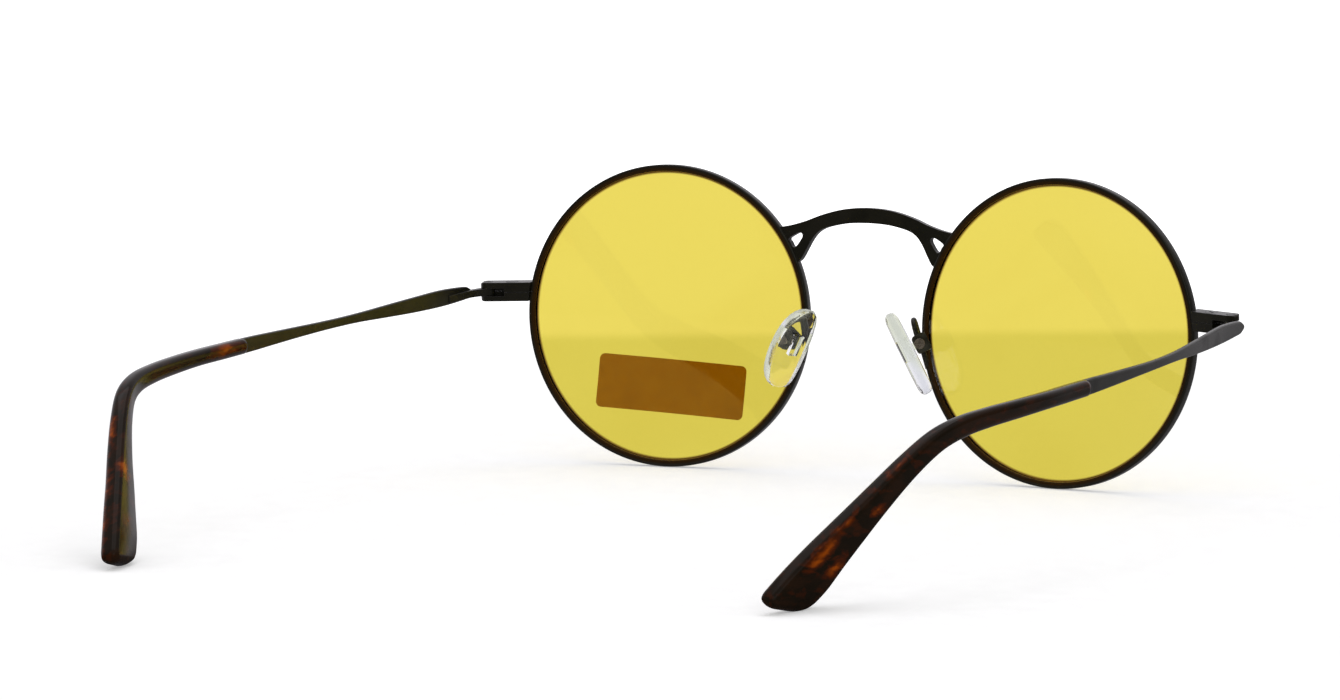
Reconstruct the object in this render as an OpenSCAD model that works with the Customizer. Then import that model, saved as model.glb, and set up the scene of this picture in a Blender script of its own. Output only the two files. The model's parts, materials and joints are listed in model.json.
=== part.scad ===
// Round wire sunglasses with arched bridge, box-mounted nose pads and tortoiseshell temple tips.
// Millimetres. Front faces -Y, temples run to +Y, +Z is up, +X is the wearer's left.
// The glasses stand on a table on the two rims and the two tip ends.

/* [Lens openings] */
// Radius of the clear lens area inside the rim
aperture_radius = 23.6; // [20:0.1:28]
// Distance between the two lens centres
lens_distance = 69.6; // [60:0.1:80]
// Angle each lens is turned back at its outer edge
wrap_angle = 4.8; // [0:0.1:12]

/* [Rims] */
// Radial thickness of the rim wire
rim_wall = 1.05; // [0.7:0.05:2]
// Front to back depth of the rim wire
rim_depth = 1.8; // [1.2:0.1:3]
// Depth of the groove that holds the lens
groove_depth = 0.55; // [0.3:0.05:0.8]
// Bevel on the corners of the rim wire
rim_bevel = 0.2; // [0.05:0.05:0.4]
// Width of the cut in the rim that the rim lock closes
rim_cut = 0.06; // [0.04:0.02:0.5]

/* [Lenses] */
// Thickness of the lens
lens_thickness = 1.0; // [0.8:0.1:2.5]
// Radius of the front surface of the lens
lens_curve = 130; // [60:1:300]
// Gap between the lens edge and the rim groove
lens_gap = 0.05; // [0.02:0.01:0.1]

/* [Test sticker] */
// Length of the blank sticker on the left lens
sticker_length = 26.1; // [15:0.1:35]
// Height of the sticker
sticker_height = 8.8; // [5:0.1:15]
// Thickness of the sticker film
sticker_film = 0.1; // [0.05:0.01:0.3]
// Sticker centre below the lens centre
sticker_drop = 11.7; // [0:0.1:16]
// Tilt of the sticker
sticker_tilt = 2.8; // [-10:0.1:10]
// Corner radius of the sticker
sticker_corner = 0.9; // [0.2:0.1:3]

/* [Bridge] */
// Front to back thickness of the bridge plate
bridge_thickness = 1.2; // [0.8:0.1:2]
// Height of the arch top above the lens centres
arch_top = 18.65; // [14:0.05:24]
// Fall of the arch from its top to the rims
arch_fall = 3.5; // [2.5:0.05:5]
// Height of the arch band at its middle
arch_band = 2.45; // [1.5:0.05:4]
// Bend radius of the bridge seen from above
bridge_bend = 162; // [60:1:400]

/* [End pieces] */
// Angle the end pieces are swept back
sweep_angle = 17; // [0:1:40]
// Distance from the rim to the hinge axis along the end piece
endpiece_length = 7.05; // [6.5:0.05:10]
// Front to back width of the end piece
endpiece_width = 2.6; // [2:0.1:4]
// Top of the end piece above the lens centres
endpiece_top = 4.55; // [2:0.05:8]
// Bottom of the end piece above the lens centres
endpiece_bottom = 1.45; // [0:0.05:6]
// Corner radius of the end piece seen from the front
endpiece_corner = 0.55; // [0.1:0.05:1]
// Height of the slot for the hinge leaf
slot_height = 1.3; // [0.6:0.05:1.8]
// Height of the slot centre above the lens centres
slot_centre = 2.95; // [1:0.05:6]
// Depth of the slot inward from the hinge axis, on the side of the temples
slot_reach = 2.8; // [1.6:0.1:4]

/* [Screws] */
// Radius of the rim lock screw shank
rim_screw_radius = 0.5; // [0.4:0.05:0.8]
// Radius of the rim lock screw head
rim_head_radius = 1.0; // [0.7:0.05:1.3]
// Height of the rim lock screw head
rim_head_height = 0.4; // [0.2:0.05:0.6]
// Distance of the rim lock screw inward from the hinge axis
rim_screw_inset = 3.95; // [3.2:0.05:5]
// Radius of the hinge screw shank
hinge_screw_radius = 0.45; // [0.3:0.05:0.7]
// Radius of the hinge screw head
hinge_head_radius = 0.68; // [0.5:0.02:1]
// Height of the hinge screw head
hinge_head_height = 0.3; // [0.2:0.05:0.5]
// Width of a screwdriver slot
driver_slot = 0.22; // [0.1:0.02:0.4]
// Depth of a screwdriver slot
driver_depth = 0.16; // [0.05:0.01:0.3]
// Radial gap round a screw thread in its own block
thread_gap = 0.02; // [0.01:0.01:0.05]
// Radial gap round a screw head in its recess
head_gap = 0.05; // [0.02:0.01:0.2]

/* [Hinge] */
// Angle the hinge axes and end pieces lean back with the sloping temples
hinge_tilt = 6.5; // [0:0.5:12]
// Radius of the eye of the hinge leaf
eye_radius = 1.0; // [0.8:0.05:1.6]
// Radial gap between the leaf bore and the hinge screw
hinge_clearance = 0.05; // [0.02:0.01:0.1]
// Gap above and below the leaf in its slot
leaf_clearance = 0.05; // [0.02:0.01:0.1]
// Width of the leaf where it lies along the blade
leaf_tab = 0.6; // [0.4:0.05:1]

/* [Temples] */
// Thickness of the temple blade
blade_thickness = 0.95; // [0.6:0.05:1.6]
// Length of the temple along its curve
temple_length = 144; // [135:0.5:155]
// Length of the tip along its curve
tip_length = 76.8; // [60:0.2:90]
// Corner radius of the section of the tip
tip_edge = 1.0; // [0.4:0.05:1.4]
// Slope of the end face of the tip across its height
tip_slant = 0.74; // [0:0.02:1]
// Length of core wire left out of the end of the tip
core_stop = 12; // [5:0.5:30]
// Half thickness of the core wire
core_half_thickness = 0.5; // [0.3:0.05:0.8]
// Half height of the core wire
core_half_height = 0.8; // [0.5:0.05:1.1]
// Gap between the core wire and its channel
core_gap = 0.06; // [0.03:0.01:0.2]

/* [Nose pads] */
// Length of a nose pad
pad_length = 14.2; // [10:0.1:17]
// Width of a nose pad
pad_width = 6.6; // [5:0.1:9]
// Thickness of a nose pad
pad_thickness = 2.2; // [1.2:0.1:3]
// Angle the pads open towards the face
pad_splay = 29.5; // [15:0.5:45]
// Angle the pads open downwards
pad_frontal = 26.9; // [10:0.1:40]
// Turn of a pad in its own plane
pad_turn = 7; // [-15:0.5:20]
// Distance from the pad screw to the middle of the pad
pad_standoff = 2.3; // [2:0.05:4]
// Length of the metal core set into the pad
pad_core_length = 3.4; // [2:0.1:6]
// Width of the metal core set into the pad
pad_core_width = 1.6; // [1.2:0.1:3]
// Gap round the core in its pocket
pad_core_gap = 0.05; // [0.02:0.01:0.1]

/* [Pad boxes] */
// Length of the pad box along the screw
box_depth = 2.1; // [1.6:0.05:3]
// Height of the pad box
box_height = 3.0; // [2:0.05:4]
// Width of the pad box across the pad
box_width = 2.4; // [1.8:0.05:3]
// Thickness of the lug inside the box
lug_thickness = 1.1; // [0.6:0.05:1.6]
// Gap on each side of the lug in the box
lug_clearance = 0.05; // [0.02:0.01:0.1]
// Radius of the pad screw shank
pad_screw_radius = 0.3; // [0.2:0.02:0.5]
// Radius of the pad screw head
pad_head_radius = 0.85; // [0.6:0.05:1.1]
// Height of the pad screw head
pad_head_height = 0.38; // [0.25:0.01:0.6]
// Radius of the eye of the lug
lug_eye_radius = 0.62; // [0.5:0.02:0.8]

/* [Pad arms] */
// Radius of the pad arm wire
arm_wire_radius = 0.45; // [0.3:0.05:0.7]
// Radius of the turn at the top of the pad arm
arm_turn_radius = 1.4; // [1:0.05:2]
// Length of the arm leg that stands on the rim
arm_leg = 6.7; // [4:0.1:9]
// Height of the pad screw above the foot of the arm
arm_box_rise = 4.5; // [1:0.1:6]
// Angle of the arm foot below the middle of the lens
arm_foot_angle = 14; // [0:0.5:30]

/* [Hidden] */
$fn = 96;
seam = 0.02;
rim_outer = aperture_radius + rim_wall;
lock_height = slot_centre + endpiece_length * sin(sweep_angle) * tan(hinge_tilt);
rim_cut_angle = asin(lock_height / rim_outer);
rim_gap_angle = rim_cut / rim_outer * 180 / PI;
lens_edge = aperture_radius - lens_gap;
lens_sphere = sqrt(lens_curve * lens_curve - lens_edge * lens_edge) - lens_thickness / 2;
groove_apex = aperture_radius + groove_depth;
leaf_half = slot_height / 2 - leaf_clearance;

// Directions of the left lens: outward in its plane, and back along its axis
lens_out = [cos(wrap_angle), sin(wrap_angle), 0];
lens_back = [-sin(wrap_angle), cos(wrap_angle), 0];
lens_middle = [lens_distance / 2, 0, 0];

// Hinge axis, at the outer end of the swept end piece
hinge = lens_middle + rim_outer * lens_out + endpiece_length * [cos(sweep_angle), sin(sweep_angle), 0];
hinge_middle = hinge + [0, 0, slot_centre];
temple_origin = hinge_middle + [-0.1, 0.35, 0];

// Arch of the bridge between the rims
arch_bottom = arch_top - arch_band;
arch_half = lens_distance / 2 - lens_out[0] * sqrt(rim_outer * rim_outer - pow(arch_top - arch_fall, 2));
arch_spread = arch_half / 15.32;
arch_drop = arch_fall / 3.5;
bend_middle = sqrt(bridge_bend * bridge_bend - arch_half * arch_half)
    - (lens_distance / 2 - arch_half) * tan(wrap_angle);

// Pad arm: foot on the back of the rim, leg direction and direction of the turn
foot_radius = rim_outer - 0.26;
arm_foot = lens_middle - foot_radius * cos(arm_foot_angle) * lens_out
    + (rim_depth / 2 - 0.25) * lens_back - foot_radius * sin(arm_foot_angle) * [0, 0, 1];
arm_up = unit([-0.134, 0.36, 0.925]);
arm_out = unit([0.402, 0.898, -0.171] - arm_up * ([0.402, 0.898, -0.171] * arm_up));
pad_screw_at = arm_foot + arm_box_rise * arm_up + 2 * arm_turn_radius * arm_out;

// Temple stations: back from the hinge, out, up, height of the section, half thickness of the tip
temple_stations = [
    [1.6, 2.7, -0.1, 2.0, 1.2],
    [10, 3.25, -0.75, 2.7, 1.2],
    [18, 4.0, -1.5, 2.5, 1.2],
    [26, 4.8, -2.2, 2.0, 1.2],
    [34, 5.45, -2.85, 1.5, 1.2],
    [42, 5.9, -3.5, 1.45, 1.2],
    [50, 6.1, -4.1, 1.7, 1.2],
    [58, 6.15, -4.7, 2.05, 1.2],
    [66, 6.1, -5.3, 2.4, 1.25],
    [74, 5.95, -5.9, 2.5, 1.3],
    [82, 5.8, -6.5, 2.55, 1.3],
    [90, 5.2, -7.2, 2.75, 1.2],
    [98, 4.2, -8.0, 2.95, 1.15],
    [104.5, 3.05, -9.0, 3.15, 1.2],
    [109.5, 1.6, -10.7, 3.35, 1.3],
    [114, -0.5, -14.0, 3.75, 1.35],
    [118.5, -3.1, -18.5, 4.65, 1.4],
    [123.3, -6.2, -23.9, 6.3, 1.4],
    [128, -9.1, -29.1, 7.75, 1.45],
    [132.3, -11.5, -33.5, 7.5, 1.45]
];
function station_point(i) = let (r = temple_stations[i]) [r[1], r[0], r[2]];
function station_run(i) = i == 0 ? 0 : station_run(i - 1) + norm(station_point(i) - station_point(i - 1));

// A longer temple gains its length in the straight part
straight_from = 3;
straight_to = 8;
straight_way = station_point(straight_to) - station_point(straight_from);
added_length = temple_length - station_run(len(temple_stations) - 1);
function added_share(i) = min(max((i - straight_from) / (straight_to - straight_from), 0), 1) * added_length;
temple_rows = [for (i = [0:len(temple_stations) - 1]) let (
    r = temple_stations[i],
    p = station_point(i) + added_share(i) * unit(straight_way)
) [station_run(i) + added_share(i), p[0], p[1], p[2], r[3], r[4]]];
tip_end = temple_length;
tip_start = temple_length - tip_length;

// Half outline of the bridge from the middle to the rim, with heights from the top and underside of the arch
arch_upper = [[0, 0], [2.15, -0.08], [4.3, -0.36], [6.4, -0.85], [8.55, -1.53], [10.7, -2.38],
    [12.9, -3.06], [14.6, -3.42], [16.4, -3.7]];
arch_lower = [[0, 0], [2.15, -0.06], [4.3, -0.28], [6.4, -0.72], [7.7, -1.14], [8.7, -1.75],
    [9.4, -2.5], [10.0, -3.4], [10.7, -4.7], [11.4, -5.95], [11.9, -6.5], [12.6, -6.75]];
arch_window = [[13.75, -5.4], [12.9, -4.8], [11.95, -4.35], [11.5, -4.45], [11.35, -4.95],
    [11.75, -5.7], [12.3, -6.45], [12.75, -6.75], [13.1, -6.55], [13.45, -5.9]];

// Interpolation through rows whose first entry is the parameter
function slope_at(rows, i) = let (
    a = max(i - 1, 0),
    b = min(i + 1, len(rows) - 1)
) (rows[b] - rows[a]) / (rows[b][0] - rows[a][0]);
function row_index(rows, s, i = 0) = i >= len(rows) - 2 || s < rows[i + 1][0] ? i : row_index(rows, s, i + 1);
function row_at(rows, s) = let (
    i = row_index(rows, s),
    h = rows[i + 1][0] - rows[i][0],
    u = (s - rows[i][0]) / h
) (2 * u * u * u - 3 * u * u + 1) * rows[i] + (u * u * u - 2 * u * u + u) * h * slope_at(rows, i)
    + (3 * u * u - 2 * u * u * u) * rows[i + 1] + (u * u * u - u * u) * h * slope_at(rows, i + 1);

// Smooth open line through points, and smooth closed loop
function blend(a, b, c, d, u) = 0.5 * (2 * b + (c - a) * u + (2 * a - 5 * b + 4 * c - d) * u * u
    + (3 * b - a - 3 * c + d) * u * u * u);
function smooth_line(p, n) = [for (i = [0:len(p) - 2], k = [0:n - 1])
    blend(p[max(i - 1, 0)], p[i], p[i + 1], p[min(i + 2, len(p) - 1)], k / n)];
function smooth_loop(p, n) = [for (i = [0:len(p) - 1], k = [0:n - 1])
    blend(p[(i + len(p) - 1) % len(p)], p[i], p[(i + 1) % len(p)], p[(i + 2) % len(p)], k / n)];

function unit(v) = v / norm(v);
function temple_point(s) = let (r = row_at(temple_rows, s)) temple_origin + [r[1], r[2], r[3]];
function temple_tangent(s) = let (
    a = max(s - 0.3, 0),
    b = min(s + 0.3, tip_end)
) unit(temple_point(b) - temple_point(a));
function temple_side(s) = let (t = temple_tangent(s)) unit([1, 0, 0] - t * t[0]);
function temple_rise(s) = cross(temple_side(s), temple_tangent(s));
function placed(s, section) = let (
    c = temple_point(s),
    side = temple_side(s),
    rise = temple_rise(s)
) [for (q = section) c + side * q[0] + rise * q[1]];

// Faces that join rings of points, each ring running the same way round
function tube_faces(rings, n) = [for (i = [0:rings - 2], j = [0:n - 1]) each [
    [i * n + j, (i + 1) * n + j, (i + 1) * n + (j + 1) % n],
    [i * n + j, (i + 1) * n + (j + 1) % n, i * n + (j + 1) % n]]];
function flat(list) = [for (a = list) each a];

// Section of the blade, outer face at positive first entry
function blade_section(t, h) = let (a = t / 2, b = h / 2, e = min(0.32, h * 0.2)) [
    [a, 0], [a, b - e], [0.72 * a, b - 0.35 * e], [0.3 * a, b], [-0.6 * a, b], [-a, b - 0.4 * e],
    [-a, 0], [-a, -b + 0.4 * e], [-0.6 * a, -b], [0.3 * a, -b], [0.72 * a, -b + 0.35 * e], [a, -b + e]];
function oval_section(a, b, power, n) = [for (k = [0:n - 1]) let (c = cos(k * 360 / n), s = sin(k * 360 / n))
    [a * sign(c) * pow(abs(c), 2 / power), b * sign(s) * pow(abs(s), 2 / power)]];

// Section of the tip: a rectangle with round corners, its outer face at positive first entries
function slab_section(a, b) = let (r = min(tip_edge, 0.95 * a, 0.95 * b)) [for (q = [0:3]) each [
    [[a, 0], [0, b], [-a, 0], [0, -b]][q],
    for (k = [0:3]) let (t = 90 * q + 30 * k) [
        (q == 0 || q == 3 ? 1 : -1) * (a - r) + r * cos(t), (q < 2 ? 1 : -1) * (b - r) + r * sin(t)]]];

// The tip ends in a slanted face, which its last rings turn into step by step
tip_round = 1.3;
tip_corner = 2.5;
slant_start = tip_length / 77 * 12;
tip_steps = [for (k = [0:40]) tip_start + seam + (tip_end - tip_corner - tip_start - seam) * k / 40,
    for (k = [1:7]) tip_end - tip_corner + tip_corner * sin(k * 90 / 7)];
function tip_slanted(s, b) = let (u = min(max((s - tip_end + slant_start) / (slant_start - tip_round), 0), 1))
    u * u * (3 - 2 * u) * (tip_slant * b - 0.06 * pow(min(b + 1, 0), 2));
function tip_inset(s, r) = s <= tip_end - r ? 0
    : r * (1 - sqrt(max(0, 1 - pow((s - tip_end + r) / r, 2))));
function tip_lead(s) = 1 - 0.1 * pow(max(0, 1 - (s - tip_start) / 0.8), 2);
function tip_ring(s) = let (
    r = row_at(temple_rows, s),
    a = r[5] * tip_lead(s) - tip_inset(s, tip_round),
    b = r[4] / 2 * tip_lead(s) - tip_inset(s, tip_corner),
    ring = slab_section(a, b),
    bare = placed(s, ring),
    along = temple_tangent(s)
) [for (j = [0:len(ring) - 1]) bare[j] + along * tip_slanted(s, ring[j][1])];

// The glasses lean back until the rims and the tip ends stand on the table,
// with the middle of their length over the origin
tip_points = [for (s = tip_steps) if (s > tip_end - 20) each tip_ring(s)];
rim_front = rim_depth / 2 - rim_bevel;
stand_tilt = atan(max([for (p = tip_points) (-p[2] - rim_outer) / (p[1] + rim_front)]));
stand_lift = rim_outer * cos(stand_tilt) + rim_front * sin(stand_tilt);
tip_reach = max([for (p = tip_points) p[1] * cos(stand_tilt) - p[2] * sin(stand_tilt)]);
bridge_face = bend_middle - bridge_bend - bridge_thickness / 2;
front_reach = bridge_face * cos(stand_tilt) - arch_top * sin(stand_tilt);
stand_shift = -(tip_reach + front_reach) / 2;
module stand() translate([0, stand_shift, stand_lift]) rotate([stand_tilt, 0, 0]) children();
module pair(left) if (left) stand() children(); else mirror([1, 0, 0]) stand() children();

// Frame of the left lens: X outward in the lens plane, Y back along the lens axis
module lens_frame() translate(lens_middle) rotate([0, 0, wrap_angle]) children();
module rim_envelope(extra) lens_frame() rotate([90, 0, 0])
    cylinder(r = rim_outer + extra, h = 16, center = true);
module endpiece_frame() translate(hinge_middle) rotate([-hinge_tilt, 0, 0])
    translate([0, 0, -slot_centre]) rotate([0, 0, sweep_angle]) children();
module pad_frame() translate(pad_screw_at)
    rotate([0, -pad_frontal, -pad_splay]) rotate([pad_turn, 0, 0]) children();

module rim_profile() polygon([
    [aperture_radius, rim_depth / 2 - rim_bevel], [aperture_radius + rim_bevel, rim_depth / 2],
    [rim_outer - rim_bevel, rim_depth / 2], [rim_outer, rim_depth / 2 - rim_bevel],
    [rim_outer, rim_bevel - rim_depth / 2], [rim_outer - rim_bevel, -rim_depth / 2],
    [aperture_radius + rim_bevel, -rim_depth / 2], [aperture_radius, rim_bevel - rim_depth / 2],
    [aperture_radius, -groove_depth], [groove_apex, 0], [aperture_radius, groove_depth]]);

module rim() lens_frame() rotate([-90, 0, 0]) rotate([0, 0, rim_gap_angle / 2 - rim_cut_angle])
    rotate_extrude(angle = 360 - rim_gap_angle) rim_profile();

module lens_shell(inner, outer) difference() {
    translate([0, lens_sphere]) circle(r = outer, $fn = 720);
    translate([0, lens_sphere]) circle(r = inner, $fn = 720);
}

module lens() lens_frame() rotate([-90, 0, 0]) rotate_extrude($fn = 180) {
    intersection() {
        lens_shell(lens_curve - lens_thickness, lens_curve);
        translate([0, -lens_curve / 2]) square([lens_edge, lens_curve / 2 + 6]);
    }
    polygon([[lens_edge - 0.4, -lens_thickness / 2 + 0.1], [lens_edge, -lens_thickness / 2 + 0.03],
        [groove_apex - lens_gap, 0], [lens_edge, lens_thickness / 2 - 0.03],
        [lens_edge - 0.4, lens_thickness / 2 - 0.1]]);
}

module rounded_plate(w, h, r) {
    square([w - 2 * r, h], center = true);
    square([w, h - 2 * r], center = true);
    for (x = [-1, 1], y = [-1, 1]) translate([x * (w / 2 - r), y * (h / 2 - r)]) circle(r = r);
}

module lens_sticker() lens_frame() intersection() {
    translate([0, lens_sphere, 0]) difference() {
        sphere(r = lens_curve + seam + sticker_film, $fn = 180);
        sphere(r = lens_curve + seam, $fn = 180);
    }
    translate([0, 0, -sticker_drop]) rotate([90, 0, 0]) rotate([0, 0, sticker_tilt])
        linear_extrude(8) rounded_plate(sticker_length, sticker_height, sticker_corner);
}

// Place on the bridge of an outline point whose height counts from the given level
function on_arch(p, level) = [p[0] * arch_spread, level + p[1] * arch_drop];

module bridge_half() difference() {
    over = 1.08 * arch_half;
    polygon(concat([for (p = smooth_line(arch_upper, 4)) on_arch(p, arch_top)],
        [[over, on_arch([0, -3.75], arch_top)[1]], [over, on_arch([0, -6.85], arch_bottom)[1]]],
        [for (i = [len(arch_lower) * 4 - 5:-1:0]) on_arch(smooth_line(arch_lower, 4)[i], arch_bottom)]));
    polygon([for (p = smooth_loop(arch_window, 3)) on_arch(p, arch_top)]);
}

module bridge_solid() difference() {
    intersection() {
        translate([0, bend_middle, 0]) difference() {
            cylinder(r = bridge_bend + bridge_thickness / 2, h = 2 * arch_top, $fn = 720);
            translate([0, 0, -arch_top])
                cylinder(r = bridge_bend - bridge_thickness / 2, h = 4 * arch_top, $fn = 720);
        }
        rotate([90, 0, 0]) linear_extrude(2 * arch_half, center = true) {
            bridge_half();
            mirror([1, 0]) bridge_half();
        }
    }
    rim_envelope(seam);
    mirror([1, 0, 0]) rim_envelope(seam);
}

module endpiece_front() {
    e = endpiece_corner;
    reach = endpiece_width / 2;
    translate([-9, endpiece_bottom]) square([9 + reach - e, endpiece_top - endpiece_bottom]);
    translate([-9, endpiece_bottom + e]) square([9 + reach, endpiece_top - endpiece_bottom - 2 * e]);
    for (z = [endpiece_bottom + e, endpiece_top - e]) translate([reach - e, z]) circle(r = e);
}

module endpiece_blank(upper) difference() {
    endpiece_frame() intersection() {
        union() {
            translate([-9, -endpiece_width / 2, 0]) cube([9, endpiece_width, 8]);
            cylinder(r = endpiece_width / 2, h = 8);
        }
        rotate([90, 0, 0]) linear_extrude(12, center = true) endpiece_front();
        if (upper) translate([-12, -4, slot_centre + rim_cut / 2]) cube([16, 8, 6]);
        else translate([-12, -4, slot_centre - rim_cut / 2 - 6]) cube([16, 8, 6]);
    }
    rim_envelope(seam);
    endpiece_frame() leaf_slot();
}

// The slot is closed at the front inward of the hinge axis, so no light passes through
module leaf_slot() translate([0, 0, slot_centre - slot_height / 2]) {
    cylinder(r = eye_radius + leaf_clearance, h = slot_height);
    translate([0, -4, 0]) cube([10, 8, slot_height]);
    translate([-slot_reach, 0, 0]) cube([slot_reach + 1, 8, slot_height]);
}

module endpiece_upper() difference() {
    endpiece_blank(true);
    endpiece_frame() {
        translate([-rim_screw_inset, 0, 0]) {
            cylinder(r = rim_screw_radius + thread_gap, h = 10);
            translate([0, 0, endpiece_top - rim_head_height]) cylinder(r = rim_head_radius + head_gap, h = 4);
        }
        cylinder(r = hinge_screw_radius + thread_gap, h = 10);
        translate([0, 0, endpiece_top - hinge_head_height]) cylinder(r = hinge_head_radius + head_gap, h = 4);
    }
}

module endpiece_lower() difference() {
    endpiece_blank(false);
    endpiece_frame() {
        translate([-rim_screw_inset, 0, 0])
            cylinder(r = rim_screw_radius + thread_gap, h = 10, center = true);
        cylinder(r = hinge_screw_radius + thread_gap, h = 10, center = true);
    }
}

// Slotted screw with its head top at the origin, pointing down
module screw(shank, length, head, head_height, turn) difference() {
    union() {
        translate([0, 0, -head_height]) cylinder(r = head, h = head_height);
        translate([0, 0, -length]) cylinder(r = shank, h = length - head_height);
    }
    rotate([0, 0, turn]) translate([-2 * head, -driver_slot / 2, -driver_depth])
        cube([4 * head, driver_slot, 2]);
}

module rim_screw() endpiece_frame() translate([-rim_screw_inset, 0, endpiece_top + seam])
    screw(rim_screw_radius, endpiece_top - endpiece_bottom - 0.2,
        rim_head_radius, rim_head_height - seam, 30);

module hinge_screw() endpiece_frame() translate([0, 0, endpiece_top + seam])
    screw(hinge_screw_radius, endpiece_top - endpiece_bottom - 0.1,
        hinge_head_radius, hinge_head_height - seam, -40);

// Face of the blade that the leaf is soldered to, seen from the hinge axis
function blade_face(s) = let (p = temple_point(s) - hinge_middle) [p[0] - blade_thickness / 2 - seam - 0.01, p[1]];

module hinge_leaf() translate(hinge_middle) rotate([-hinge_tilt, 0, 0]) translate([0, 0, -leaf_half]) difference() {
    near = blade_face(1.2);
    middle = blade_face(4.0);
    far = blade_face(7.1);
    bore = hinge_screw_radius + hinge_clearance;
    union() {
        cylinder(r = eye_radius, h = 2 * leaf_half);
        linear_extrude(2 * leaf_half) polygon([eye_radius * [0.83, -0.55], near - [0.5, 2.0],
            near - [0.07, 1.0], near, far, far - [0.15, 0.05], middle - [leaf_tab, 0],
            near + [-0.7, 0.2], near - [1.35, 0.95], eye_radius * [-0.4, 0.85]]);
    }
    translate([0, 0, -1]) cylinder(r = bore, h = 4);
}

blade_nose = 2.0;
blade_steps = [for (k = [1:6]) blade_nose * (1 - cos(k * 15)), for (k = [1:30])
    blade_nose + (tip_start - blade_nose) * k / 30];
function nose_factor(s) = s >= blade_nose ? 1 : sqrt(1 - pow(1 - s / blade_nose, 2));

module temple_blade() {
    n = 12;
    rings = [for (s = blade_steps) let (r = row_at(temple_rows, s))
        placed(s, blade_section(blade_thickness, r[4] * nose_factor(s)))];
    polyhedron(points = flat(rings), faces = concat(tube_faces(len(rings), n),
        [[for (j = [0:n - 1]) j]], [[for (j = [n - 1:-1:0]) (len(rings) - 1) * n + j]]), convexity = 4);
}

module core_wire() {
    n = 12;
    stop = tip_end - core_stop;
    steps = [for (k = [0:24]) tip_start + seam + (stop - tip_start - seam) * k / 24];
    rings = [for (s = steps) placed(s, oval_section(core_half_thickness, core_half_height, 2.4, n))];
    polyhedron(points = flat(rings), faces = concat(tube_faces(len(rings), n),
        [[for (j = [0:n - 1]) j]], [[for (j = [n - 1:-1:0]) (len(rings) - 1) * n + j]]), convexity = 4);
}

module temple_tip() {
    n = 20;
    stop = tip_end - core_stop + 0.3;
    outer = [for (s = tip_steps) tip_ring(s)];
    inner = [for (k = [0:24]) placed(tip_start + seam + (stop - tip_start - seam) * k / 24,
        oval_section(core_half_thickness + core_gap, core_half_height + core_gap, 2.4, n))];
    a = len(outer) * n;
    last = len(inner) - 1;
    polyhedron(points = flat(concat(outer, inner)), faces = concat(
        tube_faces(len(outer), n),
        [[for (j = [n - 1:-1:0]) a - n + j]],
        [for (j = [0:n - 1]) each [[j, (j + 1) % n, a + (j + 1) % n], [j, a + (j + 1) % n, a + j]]],
        [for (f = tube_faces(len(inner), n)) [a + f[0], a + f[2], a + f[1]]],
        [[for (j = [0:n - 1]) a + last * n + j]]), convexity = 6);
}

module pad_arm() difference() {
    side = cross(arm_up, arm_out);
    multmatrix([[arm_out[0], side[0], arm_up[0], arm_foot[0]], [arm_out[1], side[1], arm_up[1], arm_foot[1]],
            [arm_out[2], side[2], arm_up[2], arm_foot[2]], [0, 0, 0, 1]]) {
        translate([0, 0, -0.8]) cylinder(r = arm_wire_radius, h = arm_leg + 0.8);
        translate([arm_turn_radius, 0, arm_leg]) rotate([90, 0, 0])
            rotate_extrude(angle = 180) translate([arm_turn_radius, 0]) circle(r = arm_wire_radius);
        translate([2 * arm_turn_radius, 0, arm_box_rise])
            cylinder(r = arm_wire_radius, h = arm_leg - arm_box_rise);
    }
    rim_envelope_ring(seam);
    pad_frame() box_outer(seam);
}

// Ring of space that the rim fills, for trimming the arm foot
module rim_envelope_ring(extra) lens_frame() rotate([90, 0, 0]) difference() {
    cylinder(r = rim_outer + extra, h = rim_depth + 2 * extra, center = true);
    cylinder(r = aperture_radius - extra, h = rim_depth + 1, center = true);
}

// Pad box frame: X away from the nose, Y along the screw towards the face, Z up the pad
box_front = -0.85;
module box_outer(extra) translate([box_front + box_width / 2, 0, 0]) rotate([90, 0, 0])
    linear_extrude(box_depth + 2 * extra, center = true)
        rounded_plate(box_width + 2 * extra, box_height + 2 * extra, 0.55);

module pad_box() pad_frame() difference() {
    box_outer(0);
    translate([-4, -lug_thickness / 2 - lug_clearance, -4])
        cube([4 + lug_eye_radius + 0.23, lug_thickness + 2 * lug_clearance, 8]);
    rotate([90, 0, 0]) cylinder(r = pad_screw_radius + thread_gap, h = 6, center = true);
}

module pad_screw() pad_frame() translate([0, box_depth / 2 + seam + pad_head_height, 0]) rotate([-90, 0, 0])
    screw(pad_screw_radius, box_depth + pad_head_height, pad_head_radius, pad_head_height, 20);

pad_back = -pad_standoff + pad_thickness / 2;
core_face = -pad_standoff + 0.1;
module pad_mount() pad_frame() difference() {
    union() {
        rotate([90, 0, 0]) cylinder(r = lug_eye_radius, h = lug_thickness, center = true);
        translate([core_face, -lug_thickness / 2, -lug_eye_radius])
            cube([-core_face, lug_thickness, 2 * lug_eye_radius]);
        translate([core_face, -pad_core_width / 2, -pad_core_length / 2])
            cube([pad_back - core_face - pad_core_gap, pad_core_width, pad_core_length]);
    }
    rotate([90, 0, 0]) cylinder(r = pad_screw_radius + hinge_clearance, h = 6, center = true);
}

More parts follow.
